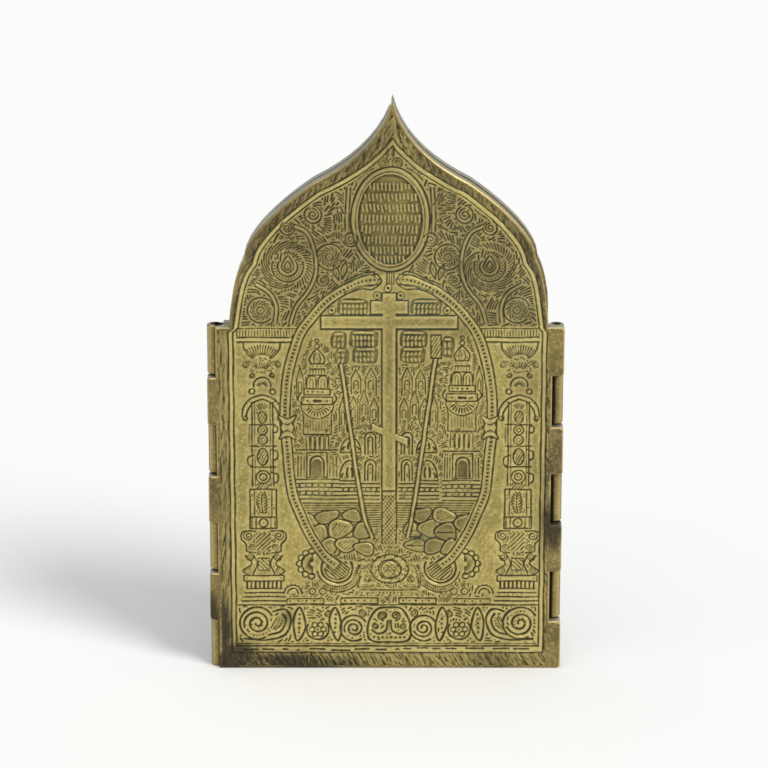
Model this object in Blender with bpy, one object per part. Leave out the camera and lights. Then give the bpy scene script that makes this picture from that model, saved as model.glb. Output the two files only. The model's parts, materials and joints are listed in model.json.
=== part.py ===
"""A closed folding travel icon of cast brass.

The cover is the engraved back of the main leaf. Two half doors are hinged along its long sides, fold
flat behind it and meet near its centre line. The cover faces -Y and the icon stands on its lower edge.
"""

import math

import bmesh
import bpy
from mathutils import Matrix

MM = 0.001

# Overall sizes
HINGE_SPACING = 100.4 * MM
BODY_HEIGHT = 107.0 * MM
HEAD_HEIGHT = 67.8 * MM
LEAF_THICKNESS = 4.05 * MM
DOOR_THICKNESS = 4.05 * MM
CLOSING_GAP = 0.3 * MM

# Hinges: seven knuckles on each side, four on one leaf and three on the other
KNUCKLE_COUNT = 7
KNUCKLE_GAP = 0.5 * MM
BARREL_RADIUS = 2.25 * MM
BARREL_END_CHAMFER = 0.3 * MM
PIN_RADIUS = 1.1 * MM
PIN_CLEARANCE = 0.3 * MM
PIN_SETBACK = 2.0 * MM
TURNING_CLEARANCE = 0.3 * MM
RIGHT_LIP = 1.2 * MM
LEFT_LIP = 0.3 * MM
TAB_CHAMFER = 0.7 * MM
END_ALLOWANCE = 0.05 * MM

# Head of the leaf
HEAD_SHIFT = 0.9 * MM
HEAD_STEP = 3.4 * MM
TIP_LEAN = 1.2 * MM
DOOR_OUTSET_RIGHT = 0.6 * MM
DOOR_INSET_LEFT = 0.2 * MM
DOOR_RISE = 0.3 * MM
MEETING_GAP = 0.4 * MM

# Faces
EDGE_CHAMFER = 0.4 * MM
RIM_WIDTH = 0.9 * MM
ENGRAVING_DEPTH = 0.6 * MM
CARVING_HEIGHT = 0.2 * MM
CARVING_ROOT = 0.3 * MM
INNER_RIM = 4.4 * MM
INNER_DEPTH = 0.9 * MM
INNER_CARVING_HEIGHT = 0.4 * MM
DOOR_STILE = 3.2 * MM
WEB_SETBACK = 0.05 * MM
CUT_ALLOWANCE = 1.0 * MM

# How much further a point comes in than the sides do, where a leaf's outline is drawn smaller.
TIP_INSET_RATIO = 2.2

# The ogee of one side of the head, as shares of its half width and of its height: two cubic
# curves from the tip to a small step, then one that runs down to the shoulder.
TIP = (0.0, 1.0)
OGEE_HOLLOW = ((0.056, 0.845), (0.235, 0.727), (0.481, 0.641))
OGEE_SWELL = ((0.645, 0.565), (0.911, 0.410), (0.911, 0.298))
OGEE_STEP = (0.923, 0.283)
OGEE_FOOT = ((0.958, 0.237), (0.989, 0.130), (1.0, 0.0))
HOLLOW_STEPS = 9
SWELL_STEPS = 9
FOOT_STEPS = 5

# Cover carving: widths as shares of the head's half width, heights as shares of the body's
# height, and of the head's height for the oval cartouche.
CROSS_POST = (0.04, 0.53, 1.094)
CROSS_BARS = ((0.113, 1.042, 1.073), (0.424, 0.998, 1.027))
OVAL_CENTRE = (0.012, 0.487)
OVAL_RADII = (0.215, 0.205)
OVAL_BAND = 0.03
OVAL_SEGMENTS = 32
WREATH_CENTRE = (0.0, 0.74)
WREATH_RADII = (0.655, 0.42)
WREATH_BAND = 0.045
WREATH_ENDS = (100.0, 440.0)
WREATH_SEGMENTS = 40
PILASTER_REACH = (0.72, 0.86)
PILASTER_HEIGHTS = (0.30, 0.90)
FRIEZE_LINES = ((0.185, 0.195), (0.055, 0.065))
FRIEZE_REACH = 0.93

BARREL_SEGMENTS = 24
PIN_SEGMENTS = 16
BRASS = (0.36, 0.29, 0.11, 1.0)
DARK_BRASS = (0.20, 0.16, 0.08, 1.0)

# Worked out from the sizes above
AXIS_X = HINGE_SPACING / 2
PITCH = BODY_HEIGHT / KNUCKLE_COUNT
OUTER_X = AXIS_X + BARREL_RADIUS
CLEAR_RADIUS = BARREL_RADIUS + TURNING_CLEARANCE
BORE_RADIUS = PIN_RADIUS + PIN_CLEARANCE
HEAD_HALF_WIDTH = AXIS_X - HEAD_STEP
DOOR_EDGE_X = AXIS_X - CLEAR_RADIUS
MEETING_X = HEAD_SHIFT + TIP_LEAN / 2
INNER_Y = CLOSING_GAP / 2
COVER_Y = -INNER_Y - LEAF_THICKNESS
BACK_Y = INNER_Y + DOOR_THICKNESS
RIGHT_TABS = range(0, KNUCKLE_COUNT, 2)
LEFT_TABS = range(1, KNUCKLE_COUNT, 2)


def clear_scene():
    for obj in list(bpy.data.objects):
        bpy.data.objects.remove(obj)


def material(name, colour, roughness):
    made = bpy.data.materials.new(name)
    made.use_nodes = True
    shader = made.node_tree.nodes["Principled BSDF"]
    shader.inputs["Base Color"].default_value = colour
    shader.inputs["Metallic"].default_value = 1.0
    shader.inputs["Roughness"].default_value = roughness
    return made


def turn_out(bm, faces):
    """Turns the faces of one closed body outwards."""
    bm.normal_update()
    bmesh.ops.recalc_face_normals(bm, faces=faces)
    if sum(face.normal.dot(face.verts[0].co) * face.calc_area() for face in faces) < 0:
        bmesh.ops.reverse_faces(bm, faces=faces)


def object_from(name, bm):
    mesh = bpy.data.meshes.new(name)
    bm.to_mesh(mesh)
    bm.free()
    obj = bpy.data.objects.new(name, mesh)
    bpy.context.scene.collection.objects.link(obj)
    return obj


def helper_from(name, bm):
    """A cutter or an addition, which is itself left out of the model."""
    obj = object_from(name, bm)
    obj.hide_render = True
    obj.display_type = "WIRE"
    return obj


def combine(obj, operation, other, crossing=False):
    """Adds or cuts another body. Crossing is for one whose own shapes may run into each other."""
    modifier = obj.modifiers.new(other.name, "BOOLEAN")
    modifier.operation = operation
    modifier.object = other
    modifier.solver = "EXACT"
    modifier.use_self = crossing


def curve(start, controls, steps):
    """The points of a cubic curve after its start."""
    points = []
    for step in range(1, steps + 1):
        t = step / steps
        weights = ((1 - t) ** 3, 3 * t * (1 - t) ** 2, 3 * t * t * (1 - t), t**3)
        corners = (start, *controls)
        points.append(tuple(sum(w * c[i] for w, c in zip(weights, corners)) for i in (0, 1)))
    return points


def ogee():
    """One side of the head from the tip to the shoulder, as shares."""
    hollow = curve(TIP, OGEE_HOLLOW, HOLLOW_STEPS)
    swell = curve(hollow[-1], OGEE_SWELL, SWELL_STEPS)
    foot = curve(OGEE_STEP, OGEE_FOOT, FOOT_STEPS)
    return [TIP, *hollow, *swell, OGEE_STEP, *foot]


def head_outline(right_width, left_width, height, widest):
    """The head counterclockwise as seen from the front, from its right foot over the tip to its left."""

    def place(side, width, share):
        centre = HEAD_SHIFT + TIP_LEAN * share[1]
        x = centre + side * width * share[0]
        return (max(-widest, min(widest, x)), BODY_HEIGHT + height * share[1])

    right = [place(1, right_width, share) for share in reversed(ogee())]
    left = [place(-1, left_width, share) for share in ogee()[1:]]
    return right + left


def knuckle_span(index):
    """The lowest and highest point of a knuckle, flush with the leaf at its two ends."""
    low = index * PITCH + KNUCKLE_GAP / 2
    high = (index + 1) * PITCH - KNUCKLE_GAP / 2
    if index == 0:
        low = 0.0
    if index == KNUCKLE_COUNT - 1:
        high = BODY_HEIGHT
    return low, high


def tabbed_edge(tabs, lip_x):
    """The cover's right edge from the bottom up, with a flat tab over each of its own knuckles."""
    points = []
    for index in tabs:
        low, high = knuckle_span(index)
        points.append((lip_x, low))
        points.append((OUTER_X - TAB_CHAMFER, low))
        points.append((OUTER_X, low + TAB_CHAMFER))
        points.append((OUTER_X, high - TAB_CHAMFER))
        points.append((OUTER_X - TAB_CHAMFER, high))
        points.append((lip_x, high))
    return points


def cover_outline():
    right_lip = AXIS_X - RIGHT_LIP
    left_lip = AXIS_X - LEFT_LIP
    right = tabbed_edge(RIGHT_TABS, right_lip)
    left = [(-x, z) for x, z in reversed(tabbed_edge(LEFT_TABS, left_lip))]
    head = head_outline(HEAD_HALF_WIDTH, HEAD_HALF_WIDTH, HEAD_HEIGHT, right_lip)
    return [*right, *head, (-left_lip, BODY_HEIGHT), *left, (-left_lip, 0.0)]


def plain_outline(side_inset=0.0):
    """The cover without its tabs, and smaller all round by about the inset."""
    right = AXIS_X - RIGHT_LIP - side_inset
    left = -(AXIS_X - LEFT_LIP - side_inset)
    width = HEAD_HALF_WIDTH - side_inset
    head = head_outline(width, width, HEAD_HEIGHT - TIP_INSET_RATIO * side_inset, right)
    if side_inset:
        head = [(x, z - side_inset / 2) for x, z in head]
    shoulder = head[0][1]
    return [(left, side_inset), (right, side_inset), (right, shoulder), *head, (left, shoulder)]


def door_outline():
    """Both doors together, before they part at their meeting line."""
    right = HEAD_HALF_WIDTH + DOOR_OUTSET_RIGHT
    left = HEAD_HALF_WIDTH - DOOR_INSET_LEFT
    head = head_outline(right, left, HEAD_HEIGHT + DOOR_RISE, DOOR_EDGE_X)
    low_corners = [(-DOOR_EDGE_X, 0.0), (DOOR_EDGE_X, 0.0)]
    return [*low_corners, *head, (-DOOR_EDGE_X, BODY_HEIGHT)]


def inset(outline, distance):
    """The outline moved in by a distance, with mitred corners."""
    count = len(outline)
    moved = []
    for index in range(count):
        x, z = outline[index]
        before = outline[index - 1]
        after = outline[(index + 1) % count]
        normals = []
        for start, end in ((before, (x, z)), ((x, z), after)):
            length = math.dist(start, end)
            normals.append((-(end[1] - start[1]) / length, (end[0] - start[0]) / length))
        (ax, az), (bx, bz) = normals
        reach = distance / (1 + ax * bx + az * bz)
        moved.append((x + reach * (ax + bx), z + reach * (az + bz)))
    return moved


def without_repeats(outline):
    """The outline without points that stand on the one before."""
    kept = []
    for index, point in enumerate(outline):
        if math.dist(point, outline[index - 1]) > 0.01 * MM:
            kept.append(point)
    return kept


def clip(outline, limit, side):
    """The part of an outline right of a vertical line (side 1) or left of it (side -1)."""
    kept = []
    for index, (x, z) in enumerate(outline):
        px, pz = outline[index - 1]
        inside = side * (x - limit) >= 0
        if inside != (side * (px - limit) >= 0):
            share = (limit - px) / (x - px)
            kept.append((limit, pz + share * (z - pz)))
        if inside:
            kept.append((x, z))
    return without_repeats(kept)


def plate(outline, front, back, front_chamfer=0.0, back_chamfer=0.0):
    """An outline made into a plate between two depths, with chamfered edges where asked."""
    rings = [(front, front_chamfer)]
    if front_chamfer:
        rings.append((front + front_chamfer, 0.0))
    if back_chamfer:
        rings.append((back - back_chamfer, 0.0))
    rings.append((back, back_chamfer))
    bm = bmesh.new()
    loops = []
    for y, chamfer in rings:
        points = inset(outline, chamfer) if chamfer else outline
        loops.append([(x, y, z) for x, z in points])
    add_stack(bm, loops)
    return bm


def add_stack(bm, loops):
    """A closed body through loops of points that lie one behind the other, capped at both ends."""
    rows = [[bm.verts.new(point) for point in loop] for loop in loops]
    faces = [bm.faces.new(rows[0]), bm.faces.new(rows[-1])]
    for near, far in zip(rows, rows[1:]):
        for index in range(len(near)):
            faces.append(bm.faces.new((near[index - 1], near[index], far[index], far[index - 1])))
    turn_out(bm, faces)


def add_barrel(bm, x, low, high, radius, segments, chamfer):
    """A solid cylinder along Z with chamfered ends."""
    rings = [(low, radius), (high, radius)]
    if chamfer:
        rings = [
            (low, radius - chamfer),
            (low + chamfer, radius),
            (high - chamfer, radius),
            (high, radius - chamfer),
        ]
    loops = []
    for z, ring_radius in rings:
        loop = []
        for index in range(segments):
            turn = 2 * math.pi * (index + 0.5) / segments
            y = ring_radius * math.sin(turn)
            loop.append((x + ring_radius * math.cos(turn), y, z))
        loops.append(loop)
    add_stack(bm, loops)


def add_box(bm, x_span, y_span, z_span):
    (x0, x1), (z0, z1) = x_span, z_span
    corners = ((x0, z0), (x1, z0), (x1, z1), (x0, z1))
    add_stack(bm, [[(x, y, z) for x, z in corners] for y in y_span])


def add_band(bm, outer, inner, y_span, closed):
    """A raised band between two rows of points, as a ring or as a strip with two ends."""
    rows = [[bm.verts.new((x, y, z)) for x, z in row] for y in y_span for row in (outer, inner)]
    front_out, front_in, back_out, back_in = rows
    walls = ((front_out, front_in), (front_in, back_in), (back_in, back_out), (back_out, front_out))
    start = 0 if closed else 1
    faces = []
    for first, second in walls:
        for index in range(start, len(outer)):
            corners = (first[index - 1], first[index], second[index], second[index - 1])
            faces.append(bm.faces.new(corners))
    if not closed:
        for end in (0, -1):
            faces.append(bm.faces.new((front_out[end], front_in[end], back_in[end], back_out[end])))
    turn_out(bm, faces)


def carved_place(u, v):
    """A point of the cover's carving, from shares of the head's half width and the body's height."""
    return (HEAD_SHIFT + u * HEAD_HALF_WIDTH, v * BODY_HEIGHT)


def cross_outline():
    """The upright cross with a short bar above and a long one below it, as one outline."""
    post, bottom, top = CROSS_POST
    right = [(post, bottom)]
    for reach, low, high in reversed(CROSS_BARS):
        right += [(post, low), (reach, low), (reach, high), (post, high)]
    right.append((post, top))
    left = [(-u, v) for u, v in reversed(right)]
    return [carved_place(u, v) for u, v in right + left]


def ellipse(centre, radii, turns):
    return [
        (centre[0] + radii[0] * math.cos(turn), centre[1] + radii[1] * math.sin(turn)) for turn in turns
    ]


def cover_carving():
    """The large raised forms of the cover: the cross, cartouche, wreath, pilasters and frieze lines."""
    floor = COVER_Y + ENGRAVING_DEPTH
    y_span = (floor - CARVING_HEIGHT, floor + CARVING_ROOT)
    bm = plate(cross_outline(), *y_span)

    centre = (
        HEAD_SHIFT + OVAL_CENTRE[0] * HEAD_HALF_WIDTH,
        BODY_HEIGHT + OVAL_CENTRE[1] * HEAD_HEIGHT,
    )
    radii = (OVAL_RADII[0] * HEAD_HALF_WIDTH, OVAL_RADII[1] * HEAD_HEIGHT)
    band = OVAL_BAND * HEAD_HALF_WIDTH
    turns = [2 * math.pi * index / OVAL_SEGMENTS for index in range(OVAL_SEGMENTS)]
    outer = ellipse(centre, radii, turns)
    inner = ellipse(centre, (radii[0] - band, radii[1] - band), turns)
    add_band(bm, outer, inner, y_span, closed=True)

    centre = carved_place(*WREATH_CENTRE)
    radii = (WREATH_RADII[0] * HEAD_HALF_WIDTH, WREATH_RADII[1] * BODY_HEIGHT)
    band = WREATH_BAND * HEAD_HALF_WIDTH
    first, last = (math.radians(end) for end in WREATH_ENDS)
    turns = [first + (last - first) * index / WREATH_SEGMENTS for index in range(WREATH_SEGMENTS + 1)]
    outer = ellipse(centre, radii, turns)
    inner = ellipse(centre, (radii[0] - band, radii[1] - band), turns)
    add_band(bm, outer, inner, y_span, closed=False)

    near, far = PILASTER_REACH
    low, high = PILASTER_HEIGHTS
    for side in (-1, 1):
        corners = (carved_place(side * near, low), carved_place(side * far, high))
        x_span = sorted(corner[0] for corner in corners)
        add_box(bm, tuple(x_span), y_span, (corners[0][1], corners[1][1]))
    for low, high in FRIEZE_LINES:
        left, right = carved_place(-FRIEZE_REACH, low), carved_place(FRIEZE_REACH, high)
        add_box(bm, (left[0], right[0]), y_span, (left[1], right[1]))
    return helper_from("cover_carving", bm)


def barrels(name, tabs, side):
    """The round knuckles of one leaf on one side."""
    bm = bmesh.new()
    for index in tabs:
        low, high = knuckle_span(index)
        add_barrel(bm, side * AXIS_X, low, high, BARREL_RADIUS, BARREL_SEGMENTS, BARREL_END_CHAMFER)
    return helper_from(name, bm)


def turning_room(side, tabs):
    """Cuts the cover back round the knuckles that the door has between the cover's own."""
    bm = bmesh.new()
    for index in range(KNUCKLE_COUNT):
        if index in tabs:
            continue
        low = index * PITCH - KNUCKLE_GAP / 2 + END_ALLOWANCE
        high = (index + 1) * PITCH + KNUCKLE_GAP / 2 - END_ALLOWANCE
        add_barrel(bm, side * AXIS_X, low, high, CLEAR_RADIUS, BARREL_SEGMENTS, 0.0)
    return helper_from("turning_room", bm)


def pin_bore(side):
    bm = bmesh.new()
    add_barrel(bm, side * AXIS_X, -PITCH, BODY_HEIGHT + PITCH, BORE_RADIUS, PIN_SEGMENTS, 0.0)
    return helper_from("pin_bore", bm)


def inner_carving():
    """A plain raised cross in the sunk panel of the main leaf's inner face."""
    floor = -INNER_Y - INNER_DEPTH
    y_span = (floor - CARVING_ROOT, floor + INNER_CARVING_HEIGHT)
    return helper_from("inner_carving", plate(cross_outline(), *y_span))


def central_leaf():
    bm = plate(cover_outline(), COVER_Y, -INNER_Y, front_chamfer=EDGE_CHAMFER)
    leaf = object_from("central_leaf", bm)
    for side, tabs in ((1, RIGHT_TABS), (-1, LEFT_TABS)):
        combine(leaf, "UNION", barrels("cover_barrels", tabs, side))
        combine(leaf, "DIFFERENCE", turning_room(side, tabs))
        combine(leaf, "DIFFERENCE", pin_bore(side))
    field = inset(without_repeats(plain_outline()), RIM_WIDTH)
    floor = COVER_Y + ENGRAVING_DEPTH
    combine(leaf, "DIFFERENCE", helper_from("cover_field", plate(field, COVER_Y - CUT_ALLOWANCE, floor)))
    combine(leaf, "UNION", cover_carving(), crossing=True)
    panel = without_repeats(plain_outline(INNER_RIM))
    panel_floor = -INNER_Y - INNER_DEPTH
    combine(leaf, "DIFFERENCE", helper_from("inner_panel", plate(panel, panel_floor, CUT_ALLOWANCE)))
    combine(leaf, "UNION", inner_carving())
    return leaf


def web(tabs, side):
    """What joins a door's knuckles to its plate, behind the pin's axis."""
    bm = bmesh.new()
    x_span = tuple(sorted((side * (DOOR_EDGE_X - TURNING_CLEARANCE), side * AXIS_X)))
    y_span = (CLOSING_GAP, BARREL_RADIUS - WEB_SETBACK)
    for index in tabs:
        low, high = knuckle_span(index)
        add_box(bm, x_span, y_span, (low + BARREL_END_CHAMFER, high - BARREL_END_CHAMFER))
    return helper_from("door_web", bm)


def other_half(meeting, side):
    """Everything past the line where one door meets the other."""
    bm = bmesh.new()
    x_span = tuple(sorted((meeting, -side * HINGE_SPACING)))
    z_span = (-PITCH, BODY_HEIGHT + HEAD_HEIGHT + PITCH)
    add_box(bm, x_span, (-DOOR_THICKNESS, BACK_Y + DOOR_THICKNESS), z_span)
    return helper_from("other_half", bm)


def door(name, side, cover_tabs):
    """One half door behind the cover, hinged at the given side."""
    meeting = MEETING_X + side * MEETING_GAP / 2
    outline = without_repeats(door_outline())
    leaf = object_from(name, plate(outline, INNER_Y, BACK_Y, back_chamfer=EDGE_CHAMFER))
    combine(leaf, "DIFFERENCE", other_half(meeting, side))
    tabs = [index for index in range(KNUCKLE_COUNT) if index not in cover_tabs]
    combine(leaf, "UNION", web(tabs, side))
    combine(leaf, "UNION", barrels("door_barrels", tabs, side))
    combine(leaf, "DIFFERENCE", pin_bore(side))
    field_edge = meeting + side * RIM_WIDTH
    back_field = clip(inset(outline, RIM_WIDTH), field_edge, side)
    floor = BACK_Y - ENGRAVING_DEPTH
    back_cut = plate(back_field, floor, BACK_Y + CUT_ALLOWANCE)
    combine(leaf, "DIFFERENCE", helper_from("back_field", back_cut))
    panel = clip(without_repeats(plain_outline(INNER_RIM)), meeting + side * DOOR_STILE, side)
    panel_floor = INNER_Y + INNER_DEPTH
    combine(leaf, "DIFFERENCE", helper_from("door_panel", plate(panel, -CUT_ALLOWANCE, panel_floor)))
    return leaf


def hinge_pin(name, side):
    bm = bmesh.new()
    low, high = PIN_SETBACK, BODY_HEIGHT - PIN_SETBACK
    add_barrel(bm, side * AXIS_X, low, high, PIN_RADIUS, PIN_SEGMENTS, 0.0)
    return object_from(name, bm)


def put_origin(obj, place):
    """Moves an object's origin, and leaves its shape where it is."""
    obj.data.transform(Matrix.Translation([-value for value in place]))
    obj.location = place


def finish(obj, finish_material):
    obj.data.materials.append(finish_material)
    obj.data.shade_smooth()
    obj.data.set_sharp_from_angle(angle=math.radians(30))


def build():
    clear_scene()
    leaf = central_leaf()
    left = door("left_door", -1, LEFT_TABS)
    right = door("right_door", 1, RIGHT_TABS)
    left_pin = hinge_pin("left_hinge_pin", -1)
    right_pin = hinge_pin("right_hinge_pin", 1)
    for obj, side in ((left, -1), (right, 1), (left_pin, -1), (right_pin, 1)):
        put_origin(obj, (side * AXIS_X, 0.0, 0.0))
    finish(leaf, material("cover_brass", BRASS, 0.42))
    finish(left, material("left_door_brass", BRASS, 0.45))
    finish(right, material("right_door_brass", BRASS, 0.45))
    finish(left_pin, material("left_pin_brass", DARK_BRASS, 0.5))
    finish(right_pin, material("right_pin_brass", DARK_BRASS, 0.5))


build()
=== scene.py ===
import json
import math

import bpy
import numpy as np
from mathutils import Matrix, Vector

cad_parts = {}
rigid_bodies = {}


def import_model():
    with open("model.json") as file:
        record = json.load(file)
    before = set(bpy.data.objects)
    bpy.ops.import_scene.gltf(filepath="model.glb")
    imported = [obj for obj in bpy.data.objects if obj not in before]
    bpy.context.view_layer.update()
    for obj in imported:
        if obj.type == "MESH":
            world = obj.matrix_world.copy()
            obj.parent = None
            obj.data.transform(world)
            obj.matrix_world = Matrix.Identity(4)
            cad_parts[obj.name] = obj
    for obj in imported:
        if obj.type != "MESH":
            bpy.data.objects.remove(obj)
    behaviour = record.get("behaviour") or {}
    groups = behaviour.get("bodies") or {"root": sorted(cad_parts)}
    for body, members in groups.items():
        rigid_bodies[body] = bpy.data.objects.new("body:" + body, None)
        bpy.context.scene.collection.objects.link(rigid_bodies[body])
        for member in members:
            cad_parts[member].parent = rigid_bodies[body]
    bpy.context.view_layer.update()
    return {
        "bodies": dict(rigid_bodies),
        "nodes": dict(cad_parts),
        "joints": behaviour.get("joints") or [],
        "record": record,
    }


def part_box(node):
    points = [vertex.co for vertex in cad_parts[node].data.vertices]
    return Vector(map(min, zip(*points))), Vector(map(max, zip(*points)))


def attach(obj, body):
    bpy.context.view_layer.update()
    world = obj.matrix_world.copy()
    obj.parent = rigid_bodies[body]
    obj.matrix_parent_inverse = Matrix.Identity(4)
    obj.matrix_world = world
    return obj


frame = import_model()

# The looks of a closed folding travel icon of cast brass. Each face is engraved as a field of heights
# over a fine grid, and the field becomes the mesh that fills the recess of its leaf.
# Measures of the engraving are in millimetres. Its x runs from the centre line of the engraving, which
# is CENTRE to the right of the origin, and its z runs up from the lower edge.

MM = 0.001

# Sizes of the leaves, as in the solids
CENTRE = 0.9
BODY_HEIGHT = 107.0
HEAD_HEIGHT = 67.8
HEAD_HALF_WIDTH = 46.8
TIP_LEAN = 1.2
LEFT_EDGE = -50.8
RIGHT_EDGE = 48.1
HEAD_CURVES = (
    ((0.0, 1.0), (0.056, 0.845), (0.235, 0.727), (0.481, 0.641)),
    ((0.481, 0.641), (0.645, 0.565), (0.911, 0.410), (0.911, 0.298)),
    ((0.923, 0.283), (0.958, 0.237), (0.989, 0.130), (1.0, 0.0)),
)
CURVE_POINTS = 14
# How much nearer to the edge the lines in the head come, by their height above the shoulder
NEARER_HEIGHTS = (0.0, 17.0, 21.5, 44.0, 60.0)
NEARER_BY = (1.5, 0.9, 0.0, 0.0, -1.7)
COVER_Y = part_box("central_leaf")[0][1] / MM
BACK_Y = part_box("left_door")[1][1] / MM
RECESS = 0.6
FACE_SINK = 0.03
BED_GAP = 0.05
RIM_OVERLAP = 0.6

DOOR_EDGE = 47.65
DOOR_HALF_WIDTHS = (46.6, 47.4)
DOOR_HEAD_HEIGHT = 68.1
MEETING_X = 1.5
MEETING_HALF_GAP = 0.2
INNER_RIM = 4.4
DOOR_STILE = 3.2

# Mesh cells of each face
COVER_CELL = 0.21
BACK_CELL = 0.5
INNER_CELL = 0.6
COVER_SPLITS = (36.0, 72.0, 106.4)

# Pens: width and depth of a stroke
HAIR = (0.4, 0.13)
FINE = (0.5, 0.22)
LINE = (0.62, 0.27)
BOLD = (0.86, 0.33)
RAISED = (0.64, 0.27)
DRAWN = 0.02
DEEPEST = -0.36
PROUDEST = 0.2
STROKE_STEP = 0.12
SEED = 7


# Outlines

def cubic(start, first, second, end, count=CURVE_POINTS):
    """Points along a cubic curve."""
    t = np.linspace(0.0, 1.0, count)[:, None]
    parts = ((1 - t) ** 3, 3 * t * (1 - t) ** 2, 3 * t * t * (1 - t), t**3)
    return sum(part * np.array(point) for part, point in zip(parts, (start, first, second, end)))


def without_repeats(points):
    """The points without those that stand on the one before."""
    gaps = np.hypot(*(points - np.roll(points, 1, axis=0)).T)
    return points[gaps > 0.01]


def head_side(side, half_width, height, foot=BODY_HEIGHT):
    """One side of a leaf's head, from the tip down to the shoulder."""
    shares = np.vstack([cubic(*points) for points in HEAD_CURVES])
    across = side * half_width * shares[:, 0] + TIP_LEAN * shares[:, 1]
    points = np.column_stack([across, foot + height * shares[:, 1]])
    return points[np.concatenate([[True], np.hypot(*np.diff(points, axis=0).T) > 0.01])]


def leaf_outline(left, right, left_width, right_width, height, low=0.0, foot=BODY_HEIGHT):
    """A leaf's outline counterclockwise as the cover is seen."""
    right_head = head_side(1, right_width, height, foot)[::-1]
    left_head = head_side(-1, left_width, height, foot)[1:]
    corners_right = [(left, low), (right, low), (right, foot)]
    points = np.vstack([corners_right, right_head, left_head, [(left, foot)]])
    points[:, 0] = np.clip(points[:, 0], left, right)
    return without_repeats(points)


def inset(outline, distance):
    """An outline moved in by a distance, with mitred corners."""
    before = outline - np.roll(outline, 1, axis=0)
    after = np.roll(outline, -1, axis=0) - outline
    normals = []
    for way in (before, after):
        length = np.hypot(*way.T)[:, None]
        normals.append(np.column_stack([-way[:, 1], way[:, 0]]) / length)
    first, second = normals
    reach = distance / (1 + (first * second).sum(axis=1, keepdims=True))
    return outline + reach * (first + second)


def clipped(outline, limit, side):
    """The part of an outline right of an upright line (side 1) or left of it (side -1)."""
    kept = []
    for before, here in zip(np.roll(outline, 1, axis=0), outline):
        inside = side * (here[0] - limit) >= 0
        if inside != (side * (before[0] - limit) >= 0):
            share = (limit - before[0]) / (here[0] - before[0])
            kept.append((limit, before[1] + share * (here[1] - before[1])))
        if inside:
            kept.append(tuple(here))
    return without_repeats(np.array(kept))


def head_line(distance):
    """A line inside the head at a distance from its edge, from its left foot over the top to its right.

    Below the notch in each side the line comes nearer to the edge, and near the tip it keeps farther away.
    """
    sides = []
    for side in (-1, 1):
        points = head_side(side, HEAD_HALF_WIDTH, HEAD_HEIGHT)
        way = np.gradient(points, axis=0)
        way = np.column_stack([smoothed(way[:, 0]), smoothed(way[:, 1])])
        normal = side * np.column_stack([way[:, 1], -way[:, 0]]) / np.hypot(*way.T)[:, None]
        nearer = np.interp(points[:, 1] - BODY_HEIGHT, NEARER_HEIGHTS, NEARER_BY)
        moved = points + np.maximum(distance - nearer, 0.0)[:, None] * normal
        off_centre = side * (moved[:, 0] - TIP_LEAN)
        top = np.interp(0.0, off_centre[: CURVE_POINTS], moved[: CURVE_POINTS, 1])
        sides.append(np.vstack([[(TIP_LEAN, top)], moved[off_centre > 0.3]]))
    left, right = sides
    return np.vstack([left[::-1], right[1:]])


def smoothed(values, reach=2):
    """A moving mean along a row of values."""
    padded = np.pad(values, reach, mode="edge")
    return np.convolve(padded, np.ones(2 * reach + 1) / (2 * reach + 1), mode="valid")


# Strokes: rows of x, z, radius and depth

def sampled(points, closed=False):
    """Even points along a run of straight pieces."""
    points = np.asarray(points, float)
    if closed:
        points = np.vstack([points, points[:1]])
    along = np.concatenate([[0.0], np.cumsum(np.hypot(*np.diff(points, axis=0).T))])
    at = np.linspace(0.0, along[-1], max(2, int(along[-1] / STROKE_STEP) + 2))
    return np.column_stack([np.interp(at, along, points[:, axis]) for axis in (0, 1)])


def bent(points, closed=False, count=8):
    """A smooth curve through the points, as short straight pieces."""
    points = np.asarray(points, float)
    if closed:
        points = np.vstack([points[-1:], points, points[:2]])
    else:
        points = np.vstack([2 * points[0] - points[1], points, 2 * points[-1] - points[-2]])
    t = np.linspace(0.0, 1.0, count, endpoint=False)[:, None]
    runs = []
    for a, b, c, d in zip(points, points[1:], points[2:], points[3:]):
        runs.append(b + 0.5 * t * (c - a + t * (2 * a - 5 * b + 4 * c - d + t * (3 * (b - c) + d - a))))
    return np.vstack([*runs, points[-2:-1]])


def stroke(points, pen=LINE, taper=0.0, closed=False):
    """A stroke along straight pieces, thinner and shallower near its ends where it tapers."""
    path = sampled(points, closed)
    width, depth = pen
    share = np.ones(len(path))
    if taper:
        along = np.arange(len(path)) * STROKE_STEP
        share = np.clip(np.minimum(along, along[::-1]) / taper, 0.45, 1.0)
    return np.column_stack([path, 0.5 * width * share, depth * share])


def curl(points, pen=LINE, taper=0.0, closed=False):
    """A stroke along a smooth curve through the points."""
    return stroke(bent(points, closed), pen, taper)


def arc(centre, radii, start=0.0, end=360.0):
    """Points along part of an ellipse, by its angles in degrees."""
    turn = np.radians(np.linspace(start, end, max(8, int(abs(end - start) / 6))))
    return np.column_stack([centre[0] + radii[0] * np.cos(turn), centre[1] + radii[1] * np.sin(turn)])


def ring(centre, radius, pen=LINE, start=0.0, end=360.0, squash=1.0):
    """A round stroke, or part of one."""
    return stroke(arc(centre, (radius, radius * squash), start, end), pen)


def level_line(x, z, half, pen=LINE):
    """A level stroke that reaches as far to both sides of x."""
    return stroke([(x - half, z), (x + half, z)], pen)


def uprights(places, low, high, pen=LINE):
    """Upright strokes between two heights."""
    return [stroke([(x, low), (x, high)], pen) for x in places]


def mirrored(side, points, x=0.0, z=0.0):
    """Points on one side of an upright line at x, given by how far out and how high above z they lie."""
    return [(x + side * out, z + up) for out, up in points]


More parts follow.
